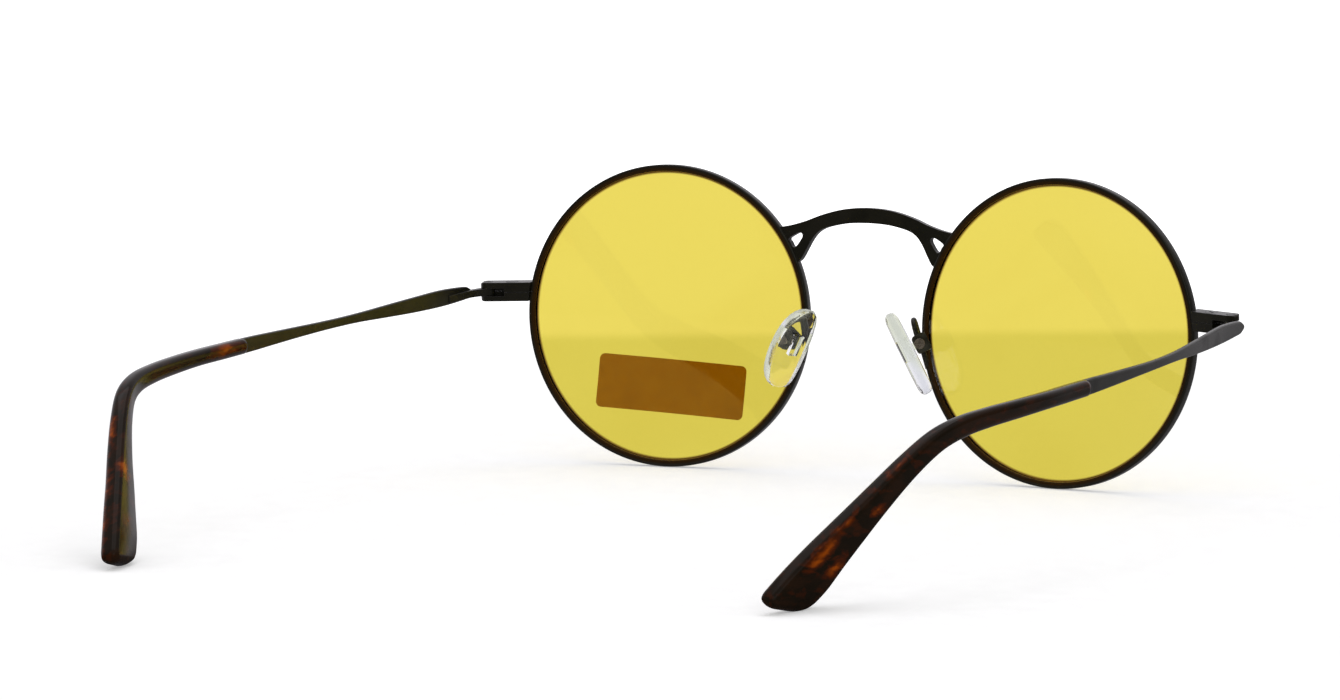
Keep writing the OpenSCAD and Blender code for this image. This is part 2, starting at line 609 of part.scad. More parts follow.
// D-shaped outline with its straight side towards the rim, and rings that round the pad off
pad_shift = 0.35;
pad_drop = -0.6;
pad_rings = [[0.5, 1.04], [0.84, 1.0], [0.93, 0.86], [0.98, 0.6], [1, 0.25], [1, -0.25], [0.98, -0.6],
    [0.93, -0.86], [0.84, -1.0], [0.5, -1.06]];
function pad_across(c) = c > 0 ? pow(c, 0.9) : -0.62 * pow(-c, 0.45);
module nose_pad() pad_frame() difference() {
    n = 28;
    outline = [for (k = [0:n - 1])
        [pad_across(cos(k * 360 / n)) * pad_width / 1.62, sign(sin(k * 360 / n)) * pow(abs(sin(k * 360 / n)), 0.85) * pad_length / 2]];
    points = [for (r = pad_rings, q = outline)
        [-pad_standoff + r[1] * pad_thickness / 2, pad_shift + q[0] * r[0], pad_drop + q[1] * r[0]]];
    polyhedron(points = points, faces = concat(tube_faces(len(pad_rings), n),
        [[for (j = [0:n - 1]) j]], [[for (j = [n - 1:-1:0]) (len(pad_rings) - 1) * n + j]]), convexity = 4);
    wide = pad_core_width + 2 * pad_core_gap;
    long = pad_core_length + 2 * pad_core_gap;
    translate([core_face - pad_core_gap, -wide / 2, -long / 2]) cube([4, wide, long]);
}

metal = [0.16, 0.15, 0.14];
module left_rim() color(metal) pair(true) rim();
module right_rim() color(metal) pair(false) rim();
module left_lens() color([0.91, 0.84, 0.35, 0.6]) pair(true) lens();
module right_lens() color([0.91, 0.84, 0.35, 0.6]) pair(false) lens();
module left_lens_sticker() color([0.54, 0.36, 0.05]) pair(true) lens_sticker();
module bridge() color(metal) pair(true) bridge_solid();
module left_endpiece_upper() color(metal) pair(true) endpiece_upper();
module right_endpiece_upper() color(metal) pair(false) endpiece_upper();
module left_endpiece_lower() color(metal) pair(true) endpiece_lower();
module right_endpiece_lower() color(metal) pair(false) endpiece_lower();
module left_rim_screw() color([0.35, 0.34, 0.33]) pair(true) rim_screw();
module right_rim_screw() color([0.35, 0.34, 0.33]) pair(false) rim_screw();
module left_hinge_screw() color([0.35, 0.34, 0.33]) pair(true) hinge_screw();
module right_hinge_screw() color([0.35, 0.34, 0.33]) pair(false) hinge_screw();
module left_pad_arm() color(metal) pair(true) pad_arm();
module right_pad_arm() color(metal) pair(false) pad_arm();
module left_pad_box() color(metal) pair(true) pad_box();
module right_pad_box() color(metal) pair(false) pad_box();
module left_pad_screw() color([0.35, 0.34, 0.33]) pair(true) pad_screw();
module right_pad_screw() color([0.35, 0.34, 0.33]) pair(false) pad_screw();
module left_pad_mount() color([0.85, 0.87, 0.85, 0.6]) pair(true) pad_mount();
module right_pad_mount() color([0.85, 0.87, 0.85, 0.6]) pair(false) pad_mount();
module left_nose_pad() color([0.9, 0.92, 0.9, 0.6]) pair(true) nose_pad();
module right_nose_pad() color([0.9, 0.92, 0.9, 0.6]) pair(false) nose_pad();
module left_hinge_leaf() color(metal) pair(true) hinge_leaf();
module right_hinge_leaf() color(metal) pair(false) hinge_leaf();
module left_temple_blade() color(metal) pair(true) temple_blade();
module right_temple_blade() color(metal) pair(false) temple_blade();
module left_core_wire() color([0.4, 0.38, 0.35]) pair(true) core_wire();
module right_core_wire() color([0.4, 0.38, 0.35]) pair(false) core_wire();
module left_temple_tip() color([0.25, 0.12, 0.05]) pair(true) temple_tip();
module right_temple_tip() color([0.25, 0.12, 0.05]) pair(false) temple_tip();

left_rim();
right_rim();
left_lens();
right_lens();
left_lens_sticker();
bridge();
left_endpiece_upper();
right_endpiece_upper();
left_endpiece_lower();
right_endpiece_lower();
left_rim_screw();
right_rim_screw();
left_hinge_screw();
right_hinge_screw();
left_pad_arm();
right_pad_arm();
left_pad_box();
right_pad_box();
left_pad_screw();
right_pad_screw();
left_pad_mount();
right_pad_mount();
left_nose_pad();
right_nose_pad();
left_hinge_leaf();
right_hinge_leaf();
left_temple_blade();
right_temple_blade();
left_core_wire();
right_core_wire();
left_temple_tip();
right_temple_tip();
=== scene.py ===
"""Round wire sunglasses with yellow lenses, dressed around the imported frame.

The glasses stand on a pale table on both rims and both tip ends. Sizes are in millimetres of the
glasses' own frame, as the part is drawn, and Stand turns them into metres of the shared frame.
"""

import json
import logging
import math
from dataclasses import dataclass, field
from enum import Enum
from typing import Iterable, Sequence

import bmesh
import bpy
from mathutils import Matrix, Vector


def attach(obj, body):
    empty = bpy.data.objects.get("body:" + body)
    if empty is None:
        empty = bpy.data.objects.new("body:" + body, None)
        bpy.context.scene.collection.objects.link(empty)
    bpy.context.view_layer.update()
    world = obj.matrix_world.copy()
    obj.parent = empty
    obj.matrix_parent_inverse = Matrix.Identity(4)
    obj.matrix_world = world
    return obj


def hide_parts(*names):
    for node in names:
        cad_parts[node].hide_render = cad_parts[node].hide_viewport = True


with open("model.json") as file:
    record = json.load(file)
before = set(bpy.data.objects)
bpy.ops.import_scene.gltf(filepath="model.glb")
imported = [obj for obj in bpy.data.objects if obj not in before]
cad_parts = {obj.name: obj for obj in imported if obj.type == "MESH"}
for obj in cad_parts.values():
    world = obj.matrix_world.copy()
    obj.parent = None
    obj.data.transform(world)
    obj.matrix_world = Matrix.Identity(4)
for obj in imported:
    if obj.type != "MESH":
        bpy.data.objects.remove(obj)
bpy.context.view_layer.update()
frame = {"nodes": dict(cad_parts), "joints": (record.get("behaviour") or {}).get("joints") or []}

LOG = logging.getLogger("sunglasses")
MM = 0.001
Point2 = tuple[float, float]
Point3 = tuple[float, float, float]
Colour = tuple[float, float, float]
Piece = bpy.types.Object
Tree = bpy.types.NodeTree
Node = bpy.types.Node
Socket = bpy.types.NodeSocket
COOL_WHITE: Colour = (0.97, 0.95, 1.0)


class Side(Enum):
    """The wearer's two sides. Left is at positive X."""

    LEFT = "left"
    RIGHT = "right"

    @property
    def sign(self) -> int:
        """One on the left side and minus one on the right."""
        return 1 if self is Side.LEFT else -1

    def node(self, part: str) -> str:
        """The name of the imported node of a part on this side."""
        return f"{self.value}_{part}"


class Body(Enum):
    """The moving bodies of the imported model."""

    FRONT = "front"
    LEFT_TEMPLE = "left_temple"
    RIGHT_TEMPLE = "right_temple"
    LEFT_PAD = "left_pad"
    RIGHT_PAD = "right_pad"

    @staticmethod
    def temple(side: Side) -> "Body":
        """The temple on a side."""
        return Body.LEFT_TEMPLE if side is Side.LEFT else Body.RIGHT_TEMPLE

    @staticmethod
    def pad(side: Side) -> "Body":
        """The rocking nose pad on a side."""
        return Body.LEFT_PAD if side is Side.LEFT else Body.RIGHT_PAD


@dataclass(frozen=True)
class Stand:
    """How the glasses stand on the table.

    Args:
        tilt: angle that the front leans back, in radians.
        lift: height of the lens centres over the table, in millimetres.
        shift: the way the glasses move along Y, in millimetres.
    """

    tilt: float
    lift: float
    shift: float

    @classmethod
    def from_joint(cls, pos_m: Sequence[float], axis: Sequence[float], hinge: Vector) -> "Stand":
        """Finds the stand from the left temple's joint.

        Args:
            pos_m: the joint's place in the shared frame.
            axis: the joint's axis, which leans back by the hinge tilt on the glasses themselves.
            hinge: the same place in the glasses' own frame, in millimetres.

        Returns:
            The stand that takes hinge to pos_m.
        """
        tilt = math.radians(FRONT.hinge_tilt) - math.atan2(axis[1], axis[2])
        turned = Matrix.Rotation(tilt, 3, "X") @ hinge
        return cls(tilt, pos_m[2] / MM - turned.z, pos_m[1] / MM - turned.y)

    def turn(self, way: Vector, side: Side = Side.LEFT) -> Vector:
        """A direction of the glasses' own frame in the shared frame."""
        turned = Matrix.Rotation(self.tilt, 3, "X") @ Vector(way)
        return Vector((turned.x * side.sign, turned.y, turned.z))

    def place(self, point: Vector, side: Side = Side.LEFT) -> Vector:
        """A point of the left half of the glasses in the shared frame, mirrored for the right side."""
        return (self.turn(point, side) + Vector((0, self.shift, self.lift))) * MM


@dataclass(frozen=True)
class FrontSizes:
    """Sizes of the front that the pieces share, in millimetres and degrees."""

    aperture_radius: float = 23.6
    lens_distance: float = 69.6
    wrap: float = 4.8
    rim_wall: float = 1.05
    rim_depth: float = 1.8
    groove_depth: float = 0.55
    sweep: float = 17.0
    hinge_tilt: float = 6.5
    endpiece_length: float = 7.05
    slot_centre: float = 2.95

    @property
    def rim_outer(self) -> float:
        """Outer radius of a rim."""
        return self.aperture_radius + self.rim_wall

    @property
    def lens_middle(self) -> Vector:
        """Centre of the left lens."""
        return Vector((self.lens_distance / 2, 0, 0))

    @property
    def hinge(self) -> Vector:
        """Finds the left hinge, in the middle of its leaf.

        Returns:
            Its place in the glasses' own frame.
        """
        out = self.endpiece_length * math.cos(math.radians(self.sweep))
        reach = Vector((out, self.hinge_back, self.slot_centre))
        return self.in_lens(Vector((self.rim_outer, 0, 0))) + reach

    @property
    def hinge_back(self) -> float:
        """How far the end piece takes the hinge back from the rim."""
        return self.endpiece_length * math.sin(math.radians(self.sweep))

    @property
    def lock_height(self) -> float:
        """Height where the rim lock splits the rim."""
        return self.slot_centre + self.hinge_back * math.tan(math.radians(self.hinge_tilt))

    def in_lens(self, point: Vector) -> Vector:
        """A point of the left lens's own frame, with Y back along its axis, in the glasses' frame."""
        return Matrix.Rotation(math.radians(self.wrap), 3, "Z") @ Vector(point) + self.lens_middle


FRONT = FrontSizes()


def stand_of(joints: list[dict]) -> Stand:
    """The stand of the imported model, from its left temple's joint."""
    joint = next(j for j in joints if j["name"] == "left_temple_fold")
    return Stand.from_joint(joint["pos_m"], joint["axis"], FRONT.hinge)


# Mesh tools

WELD_DISTANCE = 2e-6
FLAT_DEG = 0.4
SOFT_DEG = 28.0
ROUNDING_STEPS = 2


def new_object(name: str, mesh: bpy.types.Mesh) -> Piece:
    """Links a new object that holds a mesh.

    Args:
        name: the piece's name.
        mesh: the mesh, in metres of the shared frame.

    Returns:
        The object.
    """
    piece = bpy.data.objects.new(name, mesh)
    bpy.context.scene.collection.objects.link(piece)
    return piece


def finish_mesh(mesh: bmesh.types.BMesh, name: str, sharp_deg: float) -> Piece:
    """Turns a mesh under work into a smooth-shaded piece.

    Args:
        mesh: the mesh under work, which is freed.
        name: the piece's name.
        sharp_deg: edges that turn more than this stay sharp.

    Returns:
        The object.
    """
    bmesh.ops.recalc_face_normals(mesh, faces=mesh.faces)
    for face in mesh.faces:
        face.smooth = True
    limit = math.radians(sharp_deg)
    for edge in mesh.edges:
        edge.smooth = len(edge.link_faces) == 2 and edge.calc_face_angle(0.0) < limit
    data = bpy.data.meshes.new(name)
    mesh.to_mesh(data)
    mesh.free()
    for spare in [a.name for a in data.attributes if a.name == "custom_normal"]:
        data.attributes.remove(data.attributes[spare])
    return new_object(name, data)


def loft(
    name: str,
    rings: Sequence[Sequence[Vector]],
    sharp_deg: float,
    marks: dict[str, Sequence[Sequence[float]]] | None = None,
) -> Piece:
    """Joins closed rings of points into a skin with one face on each end.

    Args:
        name: the piece's name.
        rings: rings of as many points each, in metres.
        sharp_deg: edges that turn more than this stay sharp.
        marks: numbers for each point, by the name of the attribute that keeps them.

    Returns:
        The object.
    """
    mesh = bmesh.new()
    layers = {key: mesh.verts.layers.float.new(key) for key in (marks or {})}
    rows = []
    for i, ring in enumerate(rings):
        row = []
        for j, point in enumerate(ring):
            vert = mesh.verts.new(point)
            for key, layer in layers.items():
                vert[layer] = marks[key][i][j]
            row.append(vert)
        rows.append(row)
    count = len(rows[0])
    for here, there in zip(rows, rows[1:]):
        for j in range(count):
            k = (j + 1) % count
            mesh.faces.new((here[j], there[j], there[k], here[k]))
    for row in (rows[0], rows[-1]):
        mesh.faces.new(row)
    return finish_mesh(mesh, name, sharp_deg)


def round_edges(piece: Piece, width_mm: float, sharp_deg: float) -> None:
    """Rounds the sharp edges of a piece.

    Args:
        piece: the piece.
        width_mm: width of the rounding in millimetres.
        sharp_deg: edges that turn more than this are rounded.
    """
    rounding = piece.modifiers.new("rounding", "BEVEL")
    rounding.width = width_mm * MM
    rounding.segments = ROUNDING_STEPS
    rounding.limit_method = "ANGLE"
    rounding.angle_limit = math.radians(sharp_deg)
    rounding.harden_normals = True


def softened(node: str, name: str, edge_mm: float) -> Piece:
    """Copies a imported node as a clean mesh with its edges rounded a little.

    Args:
        node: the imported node.
        name: the new piece's name.
        edge_mm: width of the rounding in millimetres.

    Returns:
        The object, which stands for the node.
    """
    mesh = bmesh.new()
    mesh.from_mesh(frame["nodes"][node].data)
    bmesh.ops.remove_doubles(mesh, verts=mesh.verts, dist=WELD_DISTANCE)
    bmesh.ops.dissolve_limit(
        mesh,
        angle_limit=math.radians(FLAT_DEG),
        use_dissolve_boundaries=False,
        verts=mesh.verts,
        edges=mesh.edges,
    )
    piece = finish_mesh(mesh, name, SOFT_DEG)
    if edge_mm > 0:
        round_edges(piece, edge_mm, SOFT_DEG)
    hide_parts(node)
    return piece


def dress(piece: Piece, finish: "Finish", body: Body) -> None:
    """Gives a piece its finish, its material slot and the body that it rides on.

    Args:
        piece: the new piece.
        finish: its finish.
        body: the body that carries it.
    """
    piece.data.materials.clear()
    piece.data.materials.append(finish.material())
    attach(piece, body.value)
    LOG.info("%s rides on %s in %s", piece.name, body.value, finish.slot)


def dress_node(node: str, finish: "Finish") -> None:
    """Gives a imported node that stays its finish.

    Args:
        node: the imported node.
        finish: its finish.
    """
    data = frame["nodes"][node].data
    data.materials.clear()
    data.materials.append(finish.material())
    LOG.info("%s keeps its own shape in %s", node, finish.slot)


def smooth_rows(rows: Sequence[Sequence[float]], at: float) -> list[float]:
    """Interpolates rows whose first entry is the place along them.

    Args:
        rows: rows of numbers in rising order of their first entry.
        at: the place.

    Returns:
        The row at that place, on a smooth cubic through the given rows.
    """
    last = len(rows) - 1
    i = max(k for k in range(last) if k == 0 or rows[k][0] <= at)
    span = rows[i + 1][0] - rows[i][0]
    u = (at - rows[i][0]) / span

    def slope(k: int, column: int) -> float:
        """Rise of a column across the row's neighbours."""
        a, b = rows[max(k - 1, 0)], rows[min(k + 1, last)]
        return (b[column] - a[column]) / (b[0] - a[0])

    return [
        (2 * u**3 - 3 * u**2 + 1) * rows[i][c]
        + (u**3 - 2 * u**2 + u) * span * slope(i, c)
        + (3 * u**2 - 2 * u**3) * rows[i + 1][c]
        + (u**3 - u**2) * span * slope(i + 1, c)
        for c in range(len(rows[0]))
    ]


def rounded_oblong(width: float, height: float, radius: float, steps: int) -> list[Point2]:
    """Outline of a rectangle with round corners, counter-clockwise round its middle.

    Args:
        width: its width.
        height: its height.
        radius: radius of its corners.
        steps: steps in each corner.

    Returns:
        Its points.
    """
    outline = []
    corners = ((1, 1, 0), (-1, 1, 90), (-1, -1, 180), (1, -1, 270))
    for sx, sy, start in corners:
        for k in range(steps + 1):
            turn = math.radians(start + 90 * k / steps)
            x = sx * (width / 2 - radius) + radius * math.cos(turn)
            y = sy * (height / 2 - radius) + radius * math.sin(turn)
            outline.append((x, y))
    return outline


def divided(outline: Sequence[Point2], longest: float) -> list[Point2]:
    """Adds points along an outline's straight sides, so that it can follow a curved surface.

    Args:
        outline: the outline's points.
        longest: the longest step that is left between two points.

    Returns:
        The outline with its added points.
    """
    points = []
    for (x, y), (u, v) in zip(outline, [*outline[1:], outline[0]]):
        count = max(1, math.ceil(math.hypot(u - x, v - y) / longest))
        points += [(x + (u - x) * k / count, y + (v - y) * k / count) for k in range(count)]
    return points


# Shader tools

MIX_SHARE = 0
MIX_FIRST = 6
MIX_SECOND = 7
MIX_RESULT = 2


def spaced(inputs: dict[str, object]) -> dict[str, object]:
    """The same inputs with a space for each underscore in their names."""
    return {key.replace("_", " "): value for key, value in inputs.items()}


class NodeDesk:
    """Adds and joins the nodes of one tree."""

    def __init__(self, tree: Tree) -> None:
        """Keeps the tree that the nodes go into."""
        self.tree = tree

    def add(self, kind: str, inputs: dict | None = None, **settings: object) -> Node:
        """Adds a node.

        Args:
            kind: the node's type without its ShaderNode prefix.
            inputs: values or other nodes' sockets, by the input's name or number.
            settings: the node's own settings.

        Returns:
            The node.
        """
        node = self.tree.nodes.new("ShaderNode" + kind)
        for key, value in settings.items():
            setattr(node, key, value)
        for key, value in (inputs or {}).items():
            if isinstance(value, Socket):
                self.tree.links.new(value, node.inputs[key])
            else:
                node.inputs[key].default_value = value
        return node

    def calculate(self, operation: str, *values: object) -> Socket:
        """The result of a Math node on numbers or sockets."""
        return self.add("Math", dict(enumerate(values)), operation=operation).outputs[0]

    def reach(self, vector: Socket, way: object) -> Socket:
        """How far a vector reaches along a direction."""
        return self.add("VectorMath", {0: vector, 1: way}, operation="DOT_PRODUCT").outputs["Value"]

    def mark(self, name: str) -> Socket:
        """The number that the mesh keeps for each of its points."""
        return self.add("Attribute", attribute_name=name).outputs["Fac"]

    def noise(self, place: Socket, scale: object, detail: float, distortion: float = 0.0) -> Socket:
        """Noise over a surface, mostly between a quarter and three quarters."""
        inputs = {"Vector": place, "Scale": scale, "Detail": detail, "Distortion": distortion}
        return self.add("TexNoise", inputs).outputs[0]

    def ramp(
        self, value: object, low: float, high: float, to_low: float = 0.0, to_high: float = 1.0
    ) -> Socket:
        """A smooth rise of value from low to high, as numbers from to_low to to_high."""
        inputs = {"Value": value, "From Min": low, "From Max": high, "To Min": to_low, "To Max": to_high}
        return self.add("MapRange", inputs, interpolation_type="SMOOTHSTEP").outputs["Result"]

    def mix(self, share: object, first: object, second: object) -> Socket:
        """A colour between two.

        Args:
            share: the second colour's share, from nought to one.
            first: a colour, or the socket of one.
            second: a colour, or the socket of one.

        Returns:
            The mixed colour.
        """
        inputs = {MIX_SHARE: share}
        for number, colour in ((MIX_FIRST, first), (MIX_SECOND, second)):
            inputs[number] = colour if isinstance(colour, Socket) else (*colour, 1.0)
        return self.add("Mix", inputs, data_type="RGBA").outputs[MIX_RESULT]

    def group(self, kind: "Effect", **inputs: object) -> Node:
        """A shared effect with its own values; an underscore in a name stands for a space."""
        return self.add("Group", spaced(inputs), node_tree=effect(kind))

    def skin(self, colour: Socket, rough: Socket, **inputs: object) -> Node:
        """A Principled shader; an underscore in a name stands for a space."""
        return self.add("BsdfPrincipled", {"Base Color": colour, "Roughness": rough, **spaced(inputs)})


class Effect(Enum):
    """Surface effects that several finishes share."""

    GRAIN = "satin grain"
    HAZE = "handling haze"
    # Lighter edges: partly a coat thinned by use, partly a painted highlight.
    EDGE_WEAR_AND_HIGHLIGHT = "edge rub and painted highlight"


def effect(kind: Effect) -> Tree:
    """Finds or builds the node group of an effect.

    Args:
        kind: the effect.

    Returns:
        Its node group.
    """
    found = bpy.data.node_groups.get(kind.value)
    if found:
        return found
    tree = bpy.data.node_groups.new(kind.value, "ShaderNodeTree")
    return {Effect.GRAIN: build_grain, Effect.HAZE: build_haze, Effect.EDGE_WEAR_AND_HIGHLIGHT: build_wear_and_highlight}[kind](tree)


def open_group(
    tree: Tree, inputs: dict[str, float], outputs: Iterable[str]
) -> tuple[NodeDesk, Node, Node]:
    """Gives a group its sockets.

    Args:
        tree: the group.
        inputs: the starting value of each input number.
        outputs: the names of its output numbers.

    Returns:
        The desk of the group, its input node and its output node.
    """
    for name, value in inputs.items():
        tree.interface.new_socket(name, in_out="INPUT", socket_type="NodeSocketFloat").default_value = value
    for name in outputs:
        tree.interface.new_socket(name, in_out="OUTPUT", socket_type="NodeSocketFloat")
    desk = NodeDesk(tree)
    return desk, tree.nodes.new("NodeGroupInput"), tree.nodes.new("NodeGroupOutput")


def build_grain(tree: Tree) -> Tree:
    """Fine specks and the soft unevenness of a thin coat, for metal and film.

    Args:
        tree: the empty group.

    Returns:
        The group.
    """
    desk, given, out = open_group(tree, {"Scale": 4000.0, "Patch Scale": 300.0}, ("Specks", "Cloud"))
    place = desk.add("TexCoord").outputs["Object"]
    fine = desk.noise(place, given.outputs["Scale"], 3.0)
    broad = desk.noise(place, given.outputs["Patch Scale"], 4.0)
    tree.links.new(desk.ramp(fine, 0.35, 0.7), out.inputs["Specks"])
    tree.links.new(desk.ramp(broad, 0.3, 0.7), out.inputs["Cloud"])
    return tree


def build_haze(tree: Tree) -> Tree:
    """Faint finger marks and wiping streaks, for whatever is polished.

    Args:
        tree: the empty group.

    Returns:
        The group.
    """
    desk, given, out = open_group(tree, {"Scale": 90.0, "Streaks": 500.0}, ("Haze", "Streak"))
    place = desk.add("TexCoord").outputs["Object"]
    smear = desk.add("Mapping", {"Vector": place, "Rotation": (0.3, 0.9, 0.4), "Scale": (1.0, 1.0, 0.12)})
    cloud = desk.noise(place, given.outputs["Scale"], 5.0, 0.6)
    wiped = desk.noise(smear.outputs[0], given.outputs["Streaks"], 2.0)
    tree.links.new(desk.ramp(cloud, 0.42, 0.72), out.inputs["Haze"])
    tree.links.new(desk.ramp(wiped, 0.5, 0.75), out.inputs["Streak"])
    return tree


def build_wear_and_highlight(tree: Tree) -> Tree:
    """Where a coat is thinned along an edge by use, with a painted highlight on the same edges.

    Args:
        tree: the empty group.

    Returns:
        The group.
    """
    desk, given, out = open_group(tree, {"Width": 0.0002, "Break Up": 900.0}, ("Rubbed And Highlight",))
    rounded = desk.add("Bevel", {"Radius": given.outputs["Width"]}, samples=4)
    plain = desk.add("NewGeometry")
    # This edge mask lightens colour for a thinned coat and for a painted highlight together.
    edge = desk.ramp(desk.reach(rounded.outputs[0], plain.outputs["Normal"]), 0.995, 0.86)
    place = desk.add("TexCoord").outputs["Object"]
    broken = desk.noise(place, given.outputs["Break Up"], 3.0)
    kept = desk.ramp(broken, 0.3, 0.6, 0.35, 1.0)
    tree.links.new(desk.calculate("MULTIPLY", edge, kept), out.inputs["Rubbed And Highlight"])
    return tree


# Finishes


@dataclass(frozen=True)
class Finish:
    """One finish of the glasses, made into a material when it is first asked for."""

    slot: str

    def material(self) -> bpy.types.Material:
        """The finish's material.

        Returns:
            The material, built once.
        """
        name = f"{self.slot}_finish"
        found = bpy.data.materials.get(name)
        if found:
            return found
        made = bpy.data.materials.new(name)
        made.use_nodes = True
        made.node_tree.nodes.clear()
        desk = NodeDesk(made.node_tree)
        shader = self.shade(desk)
        desk.add("OutputMaterial", {"Surface": shader.outputs[0]})
        return made

    def shade(self, desk: NodeDesk) -> Node:
        """Builds the shader in the material's tree."""
        raise NotImplementedError

    def bump(self, desk: NodeDesk, height: Socket, depth_mm: float) -> Socket:
        """A normal from a height that changes over the surface by a real depth."""
        node = desk.add("Bump", {"Height": height, "Strength": 1.0, "Distance": depth_mm * MM})
        return node.outputs[0]


@dataclass(frozen=True)
class SatinBlack(Finish):
    """Thin satin black coat on wire, faintly olive in the light."""

    slot: str = "black_metal"
    coat: Colour = (0.009, 0.0085, 0.005)
    thin: Colour = (0.015, 0.0135, 0.008)
    # Lilac-grey edge colour: partly a thinned coat, partly a painted highlight.
    rubbed_highlight: Colour = (0.04, 0.037, 0.042)
    # The brown towards the lens is painted light: the black wall as seen lit through the yellow lens.
    inner: Colour = (0.03, 0.013, 0.002)
    gloss: Colour = (0.93, 0.9, 0.86)

    def shade(self, desk: NodeDesk) -> Node:
        """Dark coat with specks, edges lighter from use and a painted highlight,
        and a browner, duller side towards the lens, whose brown is painted light.

        Args:
            desk: the desk of the material's tree.

        Returns:
            The shader.
        """
        grain = desk.group(Effect.GRAIN, Scale=5200.0, Patch_Scale=260.0)
        haze = desk.group(Effect.HAZE, Scale=140.0, Streaks=900.0)
        wear_and_highlight = desk.group(Effect.EDGE_WEAR_AND_HIGHLIGHT, Width=0.00016, Break_Up=1300.0)
        cloudy = desk.calculate("MULTIPLY", grain.outputs["Cloud"], 0.8)
        body = desk.mix(cloudy, self.coat, self.thin)
        # Edges lightened for a thinned coat and a painted highlight.
        worn_and_highlit = desk.mix(desk.calculate("MULTIPLY", wear_and_highlight.outputs["Rubbed And Highlight"], 0.7), body, self.rubbed_highlight)
        # The side towards the lens is painted brown, standing in for light through the yellow lens.
        inward = desk.mark("inward")
        colour = desk.mix(inward, worn_and_highlit, self.inner)
        rough = desk.ramp(haze.outputs["Haze"], 0.0, 1.0, 0.28, 0.38)
        return desk.skin(
            colour,
            rough,
            IOR=1.5,
            Specular_IOR_Level=desk.ramp(inward, 0.0, 1.0, 0.25, 0.08),
            Specular_Tint=(*self.gloss, 1.0),
            Normal=self.bump(desk, grain.outputs["Specks"], 0.004),
        )


@dataclass(frozen=True)
class BareMetal(Finish):
    """Satin metal of screws, boxes and core wires."""

    slot: str = "screw_steel"
    light: Colour = (0.2, 0.17, 0.13)
    dark: Colour = (0.09, 0.075, 0.055)
    roughness: float = 0.32

    def shade(self, desk: NodeDesk) -> Node:
        """Metal with a fine grain, darker clouds and edges brightened by use and by a painted highlight.

        Args:
            desk: the desk of the material's tree.

        Returns:
            The shader.
        """
        grain = desk.group(Effect.GRAIN, Scale=7000.0, Patch_Scale=700.0)
        wear_and_highlight = desk.group(Effect.EDGE_WEAR_AND_HIGHLIGHT, Width=0.00012, Break_Up=2000.0)
        body = desk.mix(grain.outputs["Cloud"], self.dark, self.light)
        # Edge colour for a thinned coat and a painted highlight.
        rubbed_and_highlit = tuple(min(1.0, 1.8 * c) for c in self.light)
        colour = desk.mix(desk.calculate("MULTIPLY", wear_and_highlight.outputs["Rubbed And Highlight"], 0.6), body, rubbed_and_highlit)
        rough = desk.ramp(grain.outputs["Specks"], 0.0, 1.0, self.roughness - 0.06, self.roughness + 0.08)
        normal = self.bump(desk, grain.outputs["Specks"], 0.003)
        return desk.skin(colour, rough, Metallic=1.0, Normal=normal)


@dataclass(frozen=True)
class YellowLens(Finish):
    """Clear yellow polarizing lens."""

    slot: str = "yellow_lens"
    tint: Colour = (0.885, 0.735, 0.125)
    deep: Colour = (0.865, 0.71, 0.115)
    shaded: Colour = (0.1, 0.04, 0.005)

    def shade(self, desk: NodeDesk) -> Node:
        """Glass with faint clouds in its tint, a shaded edge and the lightest wiping marks.

        Args:
            desk: the desk of the material's tree.

        Returns:
            The shader.
        """
        haze = desk.group(Effect.HAZE, Scale=35.0, Streaks=260.0)
        clear = desk.mix(haze.outputs["Haze"], self.tint, self.deep)
        colour = desk.mix(desk.ramp(desk.mark("edge_shade"), 0.1, 0.9), clear, self.shaded)
        rough = desk.ramp(haze.outputs["Streak"], 0.0, 1.0, 0.0, 0.03)
        return desk.skin(colour, rough, IOR=1.5, Transmission_Weight=1.0)


@dataclass(frozen=True)
class Patch:
    """A light patch in the tortoiseshell, in the tip's own directions and millimetres.

    Args:
        along: its place along the temple, with a minus sign on the right one.
        reach: half its length.
        across: its place outward.
        breadth: half its width outward.
        rise: its place upward.
        height: half its height.
        strength: how light it is.
    """

    along: float
    reach: float
    across: float
    breadth: float
    rise: float
    height: float
    strength: float

    def mask(self, desk: NodeDesk, spot: Socket) -> Socket:
        """A number that falls from the patch's strength in its middle to nought at its edge.

        Args:
            desk: the desk of the material's tree.
            spot: a place in the tip's own directions.

        Returns:
            The number.
        """
        centre = (self.along, self.across, self.rise)
        half = (self.reach, self.breadth, self.height)
        away = desk.add("VectorMath", {0: spot, 1: centre}, operation="SUBTRACT").outputs[0]
        share = desk.add("VectorMath", {0: away, 1: half}, operation="DIVIDE").outputs[0]
        far = desk.add("VectorMath", {0: share}, operation="LENGTH").outputs["Value"]
        return desk.calculate("MULTIPLY", desk.calculate("SUBTRACT", 1.0, far), self.strength)


